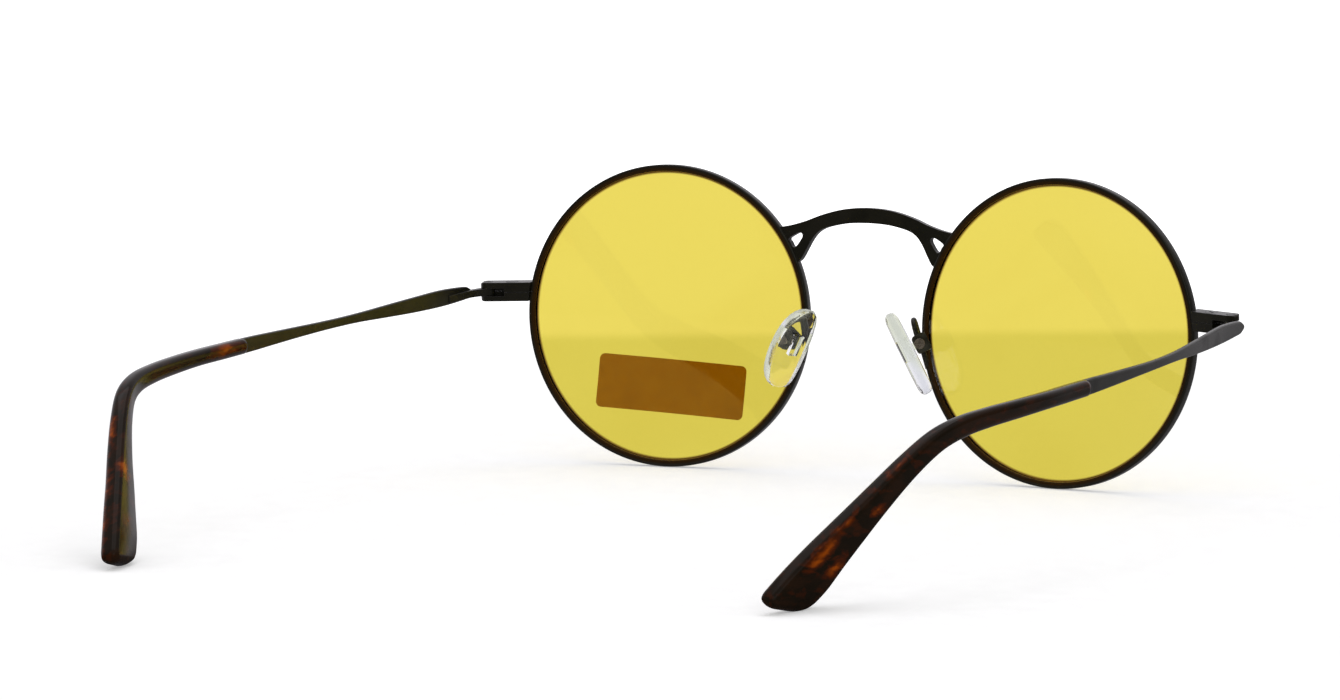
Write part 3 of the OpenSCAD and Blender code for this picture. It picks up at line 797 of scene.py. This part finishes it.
@dataclass(frozen=True)
class Tortoiseshell(Finish):
    """Dark tortoiseshell acetate, polished."""

    slot: str = "tortoiseshell"
    dark: Colour = (0.011, 0.0075, 0.0045)
    brown: Colour = (0.019, 0.0095, 0.005)
    russet: Colour = (0.06, 0.012, 0.003)
    amber: Colour = (0.33, 0.062, 0.002)
    gloss: Colour = (0.95, 0.88, 0.84)
    patches: tuple[Patch, ...] = (
        Patch(-133.5, 5.2, 1.4, 1.5, 2.4, 1.8, 0.95),
        Patch(-128.5, 5.5, 1.3, 1.0, 3.3, 1.3, 0.8),
        Patch(-133.6, 3.4, 1.4, 1.4, -1.4, 2.0, 0.65),
        Patch(-123.5, 2.2, 1.4, 1.2, 0.0, 1.5, 0.55),
        Patch(-117.0, 7.0, 0.3, 1.2, 2.2, 1.0, 0.5),
        Patch(118.5, 4.4, 0.7, 1.5, 2.3, 1.7, 0.95),
        Patch(123.0, 7.0, 1.3, 1.0, 3.0, 1.3, 0.6),
        Patch(129.5, 8.0, 1.3, 1.6, 3.7, 2.4, 0.8),
        Patch(136.5, 7.0, 1.3, 1.4, 3.7, 2.0, 0.65),
        Patch(126.5, 4.0, -1.4, 1.5, 1.4, 2.5, 0.85),
        Patch(73.5, 7.0, -0.8, 2.0, 0.3, 1.7, 0.7),
        Patch(136.0, 2.6, -1.2, 1.4, 0.6, 2.2, 0.5),
    )

    def shade(self, desk: NodeDesk) -> Node:
        """Long patches of amber and clouds of brown in a nearly black body, under a gloss.

        Args:
            desk: the desk of the material's tree.

        Returns:
            The shader.
        """
        place = desk.add("TexCoord").outputs["Object"]
        drawn = {"Vector": place, "Rotation": (0.62, 0.0, 0.0), "Scale": (1.0, 0.35, 1.0)}
        along = desk.add("Mapping", drawn).outputs[0]
        swirl = desk.noise(along, 260.0, 3.0, 1.0)
        fringe = desk.noise(along, 800.0, 2.0, 0.4)
        parts = {k: desk.mark(name) for k, name in enumerate(("along", "across", "rise"))}
        spot = desk.add("CombineXYZ", parts).outputs[0]
        lit: object = 0.0
        for patch in self.patches:
            lit = desk.calculate("MAXIMUM", lit, patch.mask(desk, spot))
        ragged = desk.calculate("ADD", lit, desk.ramp(fringe, 0.3, 0.7, -0.2, 0.2))
        body = desk.mix(desk.ramp(swirl, 0.45, 0.62), self.dark, self.brown)
        warmed = desk.mix(desk.ramp(ragged, 0.05, 0.4), body, self.russet)
        colour = desk.mix(desk.ramp(ragged, 0.35, 0.85), warmed, self.amber)
        haze = desk.group(Effect.HAZE, Scale=120.0, Streaks=700.0)
        rough = desk.ramp(haze.outputs["Haze"], 0.0, 1.0, 0.1, 0.18)
        return desk.skin(
            colour,
            rough,
            IOR=1.49,
            Specular_IOR_Level=0.08,
            Specular_Tint=(*self.gloss, 1.0),
            Normal=self.bump(desk, haze.outputs["Streak"], 0.002),
        )


@dataclass(frozen=True)
class ClearSilicone(Finish):
    """Clear soft pads with a faintly milky skin."""

    slot: str = "clear_silicone"
    clear: Colour = (0.97, 0.975, 0.96)
    milky: Colour = (0.93, 0.94, 0.92)
    wall: Colour = (0.78, 0.8, 0.83)
    index: float = 1.4

    def shade(self, desk: NodeDesk) -> Node:
        """Clear body with a soft gloss, light clouds and duller walls.

        Args:
            desk: the desk of the material's tree.

        Returns:
            The shader.
        """
        haze = desk.group(Effect.HAZE, Scale=500.0, Streaks=1600.0)
        faces = desk.mix(haze.outputs["Haze"], self.clear, self.milky)
        wall = desk.ramp(desk.mark("wall"), 0.45, 0.85)
        colour = desk.mix(wall, faces, self.wall)
        shine = desk.ramp(haze.outputs["Streak"], 0.0, 1.0, 0.03, 0.1)
        rough = desk.calculate("MULTIPLY_ADD", wall, 0.3, shine)
        return desk.skin(
            colour,
            rough,
            IOR=self.index,
            Transmission_Weight=1.0,
            Normal=self.bump(desk, haze.outputs["Haze"], 0.006),
        )


@dataclass(frozen=True)
class StickerFilm(Finish):
    """Blank brown film of the polarisation test sticker."""

    slot: str = "sticker_film"
    film: Colour = (0.45, 0.21, 0.002)
    faded: Colour = (0.5, 0.245, 0.004)

    def shade(self, desk: NodeDesk) -> Node:
        """Film with a light mottle and tiny bumps.

        Args:
            desk: the desk of the material's tree.

        Returns:
            The shader.
        """
        grain = desk.group(Effect.GRAIN, Scale=2600.0, Patch_Scale=160.0)
        colour = desk.mix(grain.outputs["Cloud"], self.film, self.faded)
        rough = desk.ramp(grain.outputs["Specks"], 0.0, 1.0, 0.35, 0.5)
        return desk.skin(
            colour,
            rough,
            IOR=1.48,
            Specular_IOR_Level=0.2,
            Normal=self.bump(desk, grain.outputs["Specks"], 0.004),
        )


BLACK = SatinBlack()
STEEL = BareMetal()
PAD_METAL = BareMetal("pad_metal", (0.06, 0.058, 0.042), (0.022, 0.021, 0.014), 0.36)
CORE_METAL = BareMetal("core_metal", (0.36, 0.34, 0.29), (0.2, 0.19, 0.16), 0.3)
LENS = YellowLens()
TORTOISE = Tortoiseshell()
SILICONE = ClearSilicone()
CLEAR_MOUNT = ClearSilicone("mount_plastic", index=1.06)
FILM = StickerFilm()


# Sub-assemblies


@dataclass
class Rims:
    """The two rim wires, each a ring with a round-edged section, a lens groove and the rim lock's cut."""

    stand: Stand
    corner: float = 0.26
    corner_steps: int = 4
    cut: float = 0.06
    ring_steps: int = 256

    def section(self) -> list[Point2]:
        """Section of the wire as radius and depth.

        Returns:
            Its outline, with the groove towards the lens.
        """
        middle = FRONT.aperture_radius + FRONT.rim_wall / 2
        outline = rounded_oblong(FRONT.rim_wall, FRONT.rim_depth, self.corner, self.corner_steps)
        inner, deep = FRONT.aperture_radius, FRONT.groove_depth
        half = len(outline) // 2
        groove = [(inner, deep), (inner + deep, 0.0), (inner, -deep)]
        ring = [(middle + x, y) for x, y in outline]
        return ring[:half] + groove + ring[half:]

    def build(self, side: Side) -> None:
        """Builds one rim.

        Args:
            side: the side it is on.
        """
        cut_at = math.asin(FRONT.lock_height / FRONT.rim_outer)
        gap = self.cut / FRONT.rim_outer
        section = self.section()
        rings = []
        for k in range(self.ring_steps + 1):
            turn = gap / 2 - cut_at + (math.tau - gap) * k / self.ring_steps
            ring = [Vector((r * math.cos(turn), depth, -r * math.sin(turn))) for r, depth in section]
            rings.append([self.stand.place(FRONT.in_lens(point), side) for point in ring])
        inward = [float(r < FRONT.aperture_radius + self.corner) for r, _ in section]
        marks = {"inward": [inward] * len(rings)}
        piece = loft(f"{side.value}_rim_wire", rings, sharp_deg=35, marks=marks)
        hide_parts(side.node("rim"))
        dress(piece, BLACK, Body.FRONT)


@dataclass
class Lenses:
    """The two domed lenses and the blank test sticker on the left one.

    A lens is rings from middle, the radius of the first, out to its edge and back on the other face.
    """

    stand: Stand
    thickness: float = 1.0
    curve: float = 130.0
    edge_gap: float = 0.05
    middle: float = 0.6
    dome_steps: int = 14
    round_steps: int = 144
    shaded_edge: float = 0.45
    sticker_length: float = 26.1
    sticker_height: float = 8.8
    sticker_film: float = 0.1
    sticker_drop: float = 11.7
    sticker_tilt: float = 2.8
    sticker_corner: float = 0.9
    sticker_corner_steps: int = 6
    sticker_step: float = 1.0
    sticker_shares: tuple[float, ...] = (0.02, 0.2, 0.4, 0.6, 0.8, 1.0)
    seam: float = 0.02

    @property
    def edge(self) -> float:
        """Radius where the domed faces end."""
        return FRONT.aperture_radius - self.edge_gap

    @property
    def sphere(self) -> float:
        """Distance of the dome's centre behind the lens plane."""
        return math.sqrt(self.curve**2 - self.edge**2) - self.thickness / 2

    def depth_at(self, radius: float, ball: float) -> float:
        """Depth of a ball's surface at a distance from the lens axis."""
        return self.sphere - math.sqrt(ball**2 - radius**2)

    def build(self, side: Side) -> None:
        """Builds one lens.

        Args:
            side: the side it is on.
        """
        clear_edge = self.edge - self.shaded_edge
        shares = [k / self.dome_steps for k in range(self.dome_steps + 1)]
        radii = [self.middle + (clear_edge - self.middle) * share for share in shares] + [self.edge]
        front = [(r, self.depth_at(r, self.curve)) for r in radii]
        back = [(r, self.depth_at(r, self.curve - self.thickness)) for r in reversed(radii)]
        tip = [(FRONT.aperture_radius + FRONT.groove_depth - self.edge_gap, 0.0)]
        turns = [math.tau * k / self.round_steps for k in range(self.round_steps)]
        rings, shade = [], []
        for r, depth in front + tip + back:
            shade.append([float(r > (clear_edge + self.edge) / 2)] * self.round_steps)
            ring = [Vector((r * math.cos(turn), depth, r * math.sin(turn))) for turn in turns]
            rings.append([self.stand.place(FRONT.in_lens(point), side) for point in ring])
        piece = loft(f"{side.value}_lens_disc", rings, sharp_deg=30, marks={"edge_shade": shade})
        piece.visible_shadow = False
        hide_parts(side.node("lens"))
        dress(piece, LENS, Body.FRONT)

    def build_sticker(self) -> None:
        """Builds the blank sticker on the front of the left lens."""
        tilt = math.radians(self.sticker_tilt)
        shares = self.sticker_shares
        inner_ball = self.curve + self.seam
        skins = ((inner_ball + self.sticker_film, shares), (inner_ball, shares[::-1]))
        plate = rounded_oblong(
            self.sticker_length, self.sticker_height, self.sticker_corner, self.sticker_corner_steps
        )
        outline = divided(plate, self.sticker_step)
        rings = []
        for ball, steps in skins:
            for share in steps:
                ring = []
                for a, b in outline:
                    x = share * (a * math.cos(tilt) - b * math.sin(tilt))
                    z = share * (a * math.sin(tilt) + b * math.cos(tilt)) - self.sticker_drop
                    depth = self.depth_at(math.hypot(x, z), ball)
                    ring.append(self.stand.place(FRONT.in_lens(Vector((x, depth, z)))))
                rings.append(ring)
        piece = loft("left_lens_blank_sticker", rings, sharp_deg=30)
        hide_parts("left_lens_sticker")
        dress(piece, FILM, Body.FRONT)


@dataclass
class FrontMetal:
    """Bridge, end pieces, screws and pad arms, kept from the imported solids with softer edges."""

    pieces: dict[str, tuple[float, Finish]] = field(
        default_factory=lambda: {
            "endpiece_upper": (0.1, BLACK),
            "endpiece_lower": (0.1, BLACK),
            "rim_screw": (0.04, BLACK),
            "hinge_screw": (0.04, BLACK),
            "pad_arm": (0.0, BLACK),
            "pad_box": (0.08, PAD_METAL),
            "pad_screw": (0.05, STEEL),
        }
    )

    def build(self) -> None:
        """Builds the bridge and both sides' small metal pieces."""
        dress(softened("bridge", "bridge_arch", edge_mm=0.12), BLACK, Body.FRONT)
        for side in Side:
            for part, (edge, finish) in self.pieces.items():
                name = f"{side.value}_{part}_soft"
                dress(softened(side.node(part), name, edge), finish, Body.FRONT)


@dataclass
class NosePads:
    """The two clear pads and the clear mounts inside them."""

    stand: Stand
    splay: float = 29.5
    frontal: float = 26.9

    def facing(self, side: Side) -> Vector:
        """The way that a pad's broad face looks, in the shared frame."""
        tipped = Matrix.Rotation(-math.radians(self.frontal), 3, "Y") @ Vector((-1, 0, 0))
        return self.stand.turn(Matrix.Rotation(-math.radians(self.splay), 3, "Z") @ tipped, side)

    def mark_wall(self, piece: Piece, side: Side) -> None:
        """Marks how far each point of a pad lies on its narrow wall, for the finish.

        Args:
            piece: the pad.
            side: the side it is on.
        """
        facing = self.facing(side)
        marks = piece.data.attributes.new("wall", "FLOAT", "POINT")
        for vert in piece.data.vertices:
            marks.data[vert.index].value = 1 - abs(vert.normal.dot(facing))

    def build(self, side: Side) -> None:
        """Builds one pad and its mount.

        Args:
            side: the side it is on.
        """
        body = Body.pad(side)
        mount = softened(side.node("pad_mount"), f"{side.value}_pad_mount_soft", edge_mm=0.05)
        dress(mount, CLEAR_MOUNT, body)
        pad = softened(side.node("nose_pad"), f"{side.value}_nose_pad_soft", edge_mm=0.0)
        self.mark_wall(pad, side)
        dress(pad, SILICONE, body)


@dataclass
class Temples:
    """Flat metal blades that twist into view, core wires and tortoiseshell tips.

    The mouth is the tip's front end and the nose is the blade's. Each round end is stepped by its own
    turn, in degrees. A section finds the way that the temple runs from places a look ahead and behind.
    A station holds a place back, out and up from origin, which is measured from the hinge, the
    temple's height there and half the tip's thickness.
    """

    stand: Stand
    tip_length: float = 76.8
    blade_thickness: float = 0.95
    blade_bevel: float = 0.32
    blade_bevel_share: float = 0.2
    blade_steps: int = 80
    nose: float = 2.0
    nose_steps: int = 7
    nose_turn: float = 12.0
    tip_edge: float = 1.0
    tip_edge_share: float = 0.95
    tip_edge_steps: int = 8
    tip_steps: int = 120
    tip_slant: float = 0.74
    tip_slant_ease: float = 0.06
    tip_round: float = 1.3
    tip_corner: float = 2.5
    corner_steps: int = 17
    corner_turn: float = 5.0
    slant_start: float = 12.0
    mouth: float = 0.3
    mouth_draw: float = 0.12
    mouth_lead: float = 0.12
    mouth_steps: int = 5
    mouth_turn: float = 15.0
    look: float = 0.3
    seam: float = 0.02
    origin: Point3 = (-0.1, 0.35, 0.0)
    stations: tuple[tuple[float, ...], ...] = (
        (1.6, 2.7, -0.1, 2.0, 1.2),
        (10, 3.25, -0.75, 2.7, 1.2),
        (18, 4.0, -1.5, 2.5, 1.2),
        (26, 4.8, -2.2, 2.0, 1.2),
        (34, 5.45, -2.85, 1.5, 1.2),
        (42, 5.9, -3.5, 1.45, 1.2),
        (50, 6.1, -4.1, 1.7, 1.2),
        (58, 6.15, -4.7, 2.05, 1.2),
        (66, 6.1, -5.3, 2.4, 1.25),
        (74, 5.95, -5.9, 2.5, 1.3),
        (82, 5.8, -6.5, 2.55, 1.3),
        (90, 5.2, -7.2, 2.75, 1.2),
        (98, 4.2, -8.0, 2.95, 1.15),
        (104.5, 3.05, -9.0, 3.15, 1.2),
        (109.5, 1.6, -10.7, 3.35, 1.3),
        (114, -0.5, -14.0, 3.75, 1.35),
        (118.5, -3.1, -18.5, 4.65, 1.4),
        (123.3, -6.2, -23.9, 6.3, 1.4),
        (128, -9.1, -29.1, 7.75, 1.45),
        (132.3, -11.5, -33.5, 7.5, 1.45),
    )
    rows: list[list[float]] = field(default_factory=list)

    def __post_init__(self) -> None:
        """Turns the stations into rows by distance along the temple."""
        run, before = 0.0, None
        for back, out, up, height, half in self.stations:
            point = Vector((out, back, up))
            run += (point - before).length if before else 0.0
            before = point
            self.rows.append([run, *(FRONT.hinge + Vector(self.origin) + point), height, half])

    @property
    def length(self) -> float:
        """Length of the temple along its curve."""
        return self.rows[-1][0]

    @property
    def tip_start(self) -> float:
        """Distance along the temple where the tip begins."""
        return self.length - self.tip_length

    def slanted(self, at: float, rise: float) -> float:
        """How far a point of the tip moves along the temple to shape the slanted end.

        Args:
            at: distance along the temple.
            rise: the point's place upward.

        Returns:
            The distance that it moves.
        """
        first = self.length - self.slant_start
        u = min(max((at - first) / (self.slant_start - self.tip_round), 0.0), 1.0)
        eased = self.tip_slant_ease * min(rise + 1, 0.0) ** 2
        return u * u * (3 - 2 * u) * (self.tip_slant * rise - eased)

    def inset(self, at: float, radius: float) -> float:
        """How far the section draws in where the end of the tip rounds off."""
        into = max(0.0, (at - self.length + radius) / radius)
        return radius * (1 - math.sqrt(max(0.0, 1 - into**2)))

    def placed(self, at: float, outline: Sequence[Point2], side: Side) -> list[Vector]:
        """A section of the temple in the shared frame.

        Args:
            at: distance along the temple.
            outline: points as distance outward and upward.
            side: the temple's side.

        Returns:
            The section's points.
        """
        here = Vector(smooth_rows(self.rows, at)[1:4])
        ahead = Vector(smooth_rows(self.rows, min(at + self.look, self.length))[1:4])
        behind = Vector(smooth_rows(self.rows, max(at - self.look, 0.0))[1:4])
        along = (ahead - behind).normalized()
        across = (Vector((1, 0, 0)) - along * along.x).normalized()
        rise = across.cross(along)
        ring = [here + across * a + rise * b + along * self.slanted(at, b) for a, b in outline]
        return [self.stand.place(point, side) for point in ring]

    def blade_outline(self, height: float) -> list[Point2]:
        """Section of the blade, with its outer face at positive first entries.

        Args:
            height: the blade's height.

        Returns:
            Its outline.
        """
        a, b = self.blade_thickness / 2, height / 2
        e = min(self.blade_bevel, height * self.blade_bevel_share)
        upper = [(a, b - e), (0.72 * a, b - 0.35 * e), (0.3 * a, b), (-0.6 * a, b), (-a, b - 0.4 * e)]
        lower = [(x, -y) for x, y in reversed(upper)]
        return [(a, 0.0), *upper, (-a, 0.0), *lower]

    def blade(self, side: Side) -> None:
        """Builds the metal blade with its round front end.

        Args:
            side: the temple's side.
        """
        turns = [math.radians(self.nose_turn * k) for k in range(1, self.nose_steps + 1)]
        length, count = self.tip_start - self.nose, self.blade_steps
        steps = [self.nose * (1 - math.cos(turn)) for turn in turns]
        steps += [self.nose + length * k / count for k in range(1, count + 1)]
        rings = []
        for at in steps:
            height = smooth_rows(self.rows, at)[4]
            if at < self.nose:
                height *= math.sqrt(1 - (1 - at / self.nose) ** 2)
            rings.append(self.placed(at, self.blade_outline(height), side))
        piece = loft(f"{side.value}_temple_flat", rings, sharp_deg=24)
        round_edges(piece, width_mm=0.05, sharp_deg=20)
        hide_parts(side.node("temple_blade"))
        dress(piece, BLACK, Body.temple(side))

    def tip(self, side: Side) -> None:
        """Builds the tortoiseshell tip.

        Args:
            side: the temple's side.
        """
        start, stop = self.tip_start + self.seam, self.length - self.tip_corner
        mouth_turns = [math.radians(self.mouth_turn * k) for k in range(1, self.mouth_steps + 1)]
        corner_turns = [math.radians(self.corner_turn * k) for k in range(1, self.corner_steps + 1)]
        length, count = stop - start - self.mouth, self.tip_steps
        steps = [start + self.mouth_lead * (1 - math.cos(turn)) for turn in mouth_turns]
        steps += [start + self.mouth + length * k / count for k in range(count + 1)]
        steps += [stop + self.tip_corner * math.sin(turn) for turn in corner_turns]
        rings = []
        marks: dict[str, list[list[float]]] = {"along": [], "across": [], "rise": []}
        for at in steps:
            row = smooth_rows(self.rows, at)
            size = 1 - self.mouth_draw * max(0.0, 1 - (at - start) / self.mouth) ** 2
            a = row[5] * size - self.inset(at, self.tip_round)
            b = row[4] / 2 * size - self.inset(at, self.tip_corner)
            edge = min(self.tip_edge, self.tip_edge_share * a, self.tip_edge_share * b)
            outline = rounded_oblong(2 * a, 2 * b, edge, self.tip_edge_steps)
            rings.append(self.placed(at, outline, side))
            marks["along"].append([side.sign * at] * len(outline))
            marks["across"].append([out for out, _ in outline])
            marks["rise"].append([up for _, up in outline])
        piece = loft(f"{side.value}_temple_tip_polished", rings, sharp_deg=50, marks=marks)
        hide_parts(side.node("temple_tip"))
        dress(piece, TORTOISE, Body.temple(side))

    def build(self, side: Side) -> None:
        """Builds one temple from its hinge leaf to its tip.

        Args:
            side: the temple's side.
        """
        leaf = softened(side.node("hinge_leaf"), f"{side.value}_hinge_leaf_soft", edge_mm=0.05)
        dress(leaf, BLACK, Body.temple(side))
        self.blade(side)
        self.tip(side)
        dress_node(side.node("core_wire"), CORE_METAL)


# Studio

WHITE: Colour = (1.0, 1.0, 1.0)


@dataclass
class Studio:
    """Pale table, soft lamps and the camera.

    The camera looks at the point that across and above give, from azimuth and elevation. Reflections
    are brightest towards bright_way. Clear surfaces show seen_share of the table in near_tone, and in
    white from table_zone on, measured along far_way.
    """

    stand: Stand
    azimuth: float = 27.54
    elevation: float = 3.98
    roll: float = 0.707
    distance: float = 1124.7
    across: float = -30.70
    above: float = -4.114
    lens_mm: float = 188.06
    sensor_mm: float = 36.0
    clip_m: Point2 = (0.01, 50.0)
    table_reach: Point2 = (2.4, 2.6)
    paper_dark: Colour = (0.78, 0.78, 0.78)
    paper_light: Colour = (0.82, 0.82, 0.82)
    near_tone: Colour = (0.84, 0.855, 0.72)
    seen_share: float = 0.95
    table_zone: Point2 = (0.262, 0.284)
    far_way: Point3 = (0.462, -0.887, 0.0)
    bright_way: Point3 = (0.75, -0.66, 0.0)
    bounced: float = 0.6
    lamp_aim: Point3 = (0.0, 0.0, 0.02)

    def camera(self) -> None:
        """Sets up the camera at the photograph's viewing angle."""
        az, el, roll = (math.radians(a) for a in (self.azimuth, self.elevation, self.roll))
        back = Vector((-math.sin(az) * math.cos(el), math.cos(az) * math.cos(el), math.sin(el)))
        right = (-back).cross(Vector((0, 0, 1))).normalized()
        up = right.cross(-back)
        turned_right = math.cos(roll) * right + math.sin(roll) * up
        turned_up = math.cos(roll) * up - math.sin(roll) * right
        place = back * self.distance + turned_right * self.across + turned_up * self.above
        data = bpy.data.cameras.new("photo_camera")
        data.lens = self.lens_mm
        data.sensor_width = self.sensor_mm
        data.clip_start, data.clip_end = self.clip_m
        camera = bpy.data.objects.new("photo_camera", data)
        bpy.context.scene.collection.objects.link(camera)
        axes = Matrix([self.stand.turn(v) for v in (turned_right, turned_up, back)]).transposed()
        camera.matrix_world = Matrix.Translation(self.stand.place(place)) @ axes.to_4x4()
        bpy.context.scene.camera = camera

    def table(self) -> None:
        """Lays the pale table top."""
        mesh = bmesh.new()
        x, y = self.table_reach
        corners = ((-x, y, 0), (x, y, 0), (x, -y, 0), (-x, -y, 0))
        mesh.faces.new([mesh.verts.new(corner) for corner in corners])
        piece = finish_mesh(mesh, "pale_table", sharp_deg=30)
        material = bpy.data.materials.new("pale_table")
        material.use_nodes = True
        material.node_tree.nodes.clear()
        desk = NodeDesk(material.node_tree)
        desk.add("OutputMaterial", {"Surface": self.table_shader(desk).outputs[0]})
        piece.data.materials.append(material)

    def table_shader(self, desk: NodeDesk) -> Node:
        """Paper that the camera sees fade to white, with plain tones in glossy and clear surfaces.

        Args:
            desk: the desk of the table's tree.

        Returns:
            The shader.
        """
        place = desk.add("TexCoord").outputs["Object"]
        rays = desk.add("LightPath").outputs
        paper = desk.ramp(desk.noise(place, 240.0, 4.0), 0.3, 0.7)
        matte = desk.add("BsdfDiffuse", {"Color": desk.mix(paper, self.paper_dark, self.paper_light)})
        far = desk.add("VectorMath", {0: place}, operation="LENGTH").outputs["Value"]
        fading = desk.calculate("MULTIPLY", rays["Is Camera Ray"], desk.ramp(far, 0.15, 0.5, 0.34, 1.0))
        faded = desk.add("Emission", {"Strength": fading})
        plain = desk.add("AddShader", {0: matte.outputs[0], 1: faded.outputs[0]})
        ahead = desk.ramp(desk.add("SeparateXYZ", {0: place}).outputs["Y"], 0.1, -0.02, 0.05, 1.0)
        beside = desk.ramp(desk.reach(place, self.bright_way), -0.1, 0.45, 0.25, 1.0)
        sheen = desk.calculate("MULTIPLY", ahead, beside)
        mirrored = desk.add("Emission", {"Color": (*COOL_WHITE, 1.0), "Strength": sheen})
        lit = desk.add("MixShader", {0: rays["Is Glossy Ray"], 1: plain.outputs[0], 2: mirrored.outputs[0]})
        zone = desk.ramp(desk.reach(place, self.far_way), *self.table_zone)
        shown = desk.mix(zone, self.near_tone, WHITE)
        through = desk.add("Emission", {"Color": shown, "Strength": 1.0})
        share = desk.calculate("MULTIPLY", rays["Is Transmission Ray"], self.seen_share)
        return desk.add("MixShader", {0: share, 1: lit.outputs[0], 2: through.outputs[0]})

    def lamp(self, name: str, place: Vector, size: float, power: float, tint: Colour) -> None:
        """Hangs a square lamp that looks at the glasses.

        Args:
            name: the lamp's name.
            place: where it hangs, in metres.
            size: its width in metres.
            power: its power in watts.
            tint: its colour.
        """
        data = bpy.data.lights.new(name, "AREA")
        data.energy, data.size, data.color = power, size, tint
        lamp = bpy.data.objects.new(name, data)
        bpy.context.scene.collection.objects.link(lamp)
        lamp.location = place
        lamp.rotation_euler = (Vector(self.lamp_aim) - place).to_track_quat("-Z", "Y").to_euler()

    def sky(self) -> None:
        """Surrounds the table with white, darker on the camera's side in reflections."""
        world = bpy.data.worlds.new("studio")
        bpy.context.scene.world = world
        world.use_nodes = True
        world.node_tree.nodes.clear()
        desk = NodeDesk(world.node_tree)
        way = desk.add("TexCoord").outputs["Generated"]
        height = desk.add("SeparateXYZ", {0: way}).outputs["Z"]
        ahead = desk.ramp(desk.reach(way, self.bright_way), -0.1, 0.9, 0.05, 1.0)
        shown = desk.calculate("MAXIMUM", ahead, desk.ramp(height, 0.3, 0.8, 0.05, 0.6))
        rays = desk.add("LightPath").outputs
        glossy = rays["Is Glossy Ray"]
        clear = desk.calculate("MAXIMUM", rays["Is Camera Ray"], rays["Is Transmission Ray"])
        over = desk.calculate("SUBTRACT", shown, self.bounced)
        base = desk.calculate("MULTIPLY_ADD", glossy, over, self.bounced)
        level = desk.calculate("MULTIPLY_ADD", clear, desk.calculate("SUBTRACT", 1.0, base), base)
        colour = desk.mix(glossy, WHITE, COOL_WHITE)
        light = desk.add("Background", {"Color": colour, "Strength": level})
        desk.add("OutputWorld", {"Surface": light.outputs[0]})

    def build(self) -> None:
        """Sets the table, the lamps, the surroundings and the camera."""
        bpy.context.scene.view_settings.view_transform = "Standard"
        self.table()
        self.sky()
        self.lamp("overhead_soft", Vector((0.1, -0.15, 0.95)), size=0.9, power=2.8, tint=COOL_WHITE)
        self.lamp("rear_soft", Vector((-0.7, 0.75, 0.45)), size=0.7, power=1.4, tint=(1.0, 0.99, 0.97))
        self.camera()


def main() -> None:
    """Builds the glasses and the studio."""
    logging.basicConfig(level=logging.INFO, format="%(name)s: %(message)s")
    stand = stand_of(frame["joints"])
    rims, lenses, pads, temples = Rims(stand), Lenses(stand), NosePads(stand), Temples(stand)
    FrontMetal().build()
    for side in Side:
        rims.build(side)
        lenses.build(side)
        pads.build(side)
        temples.build(side)
    lenses.build_sticker()
    Studio(stand).build()


if __name__ == "__main__":
    main()
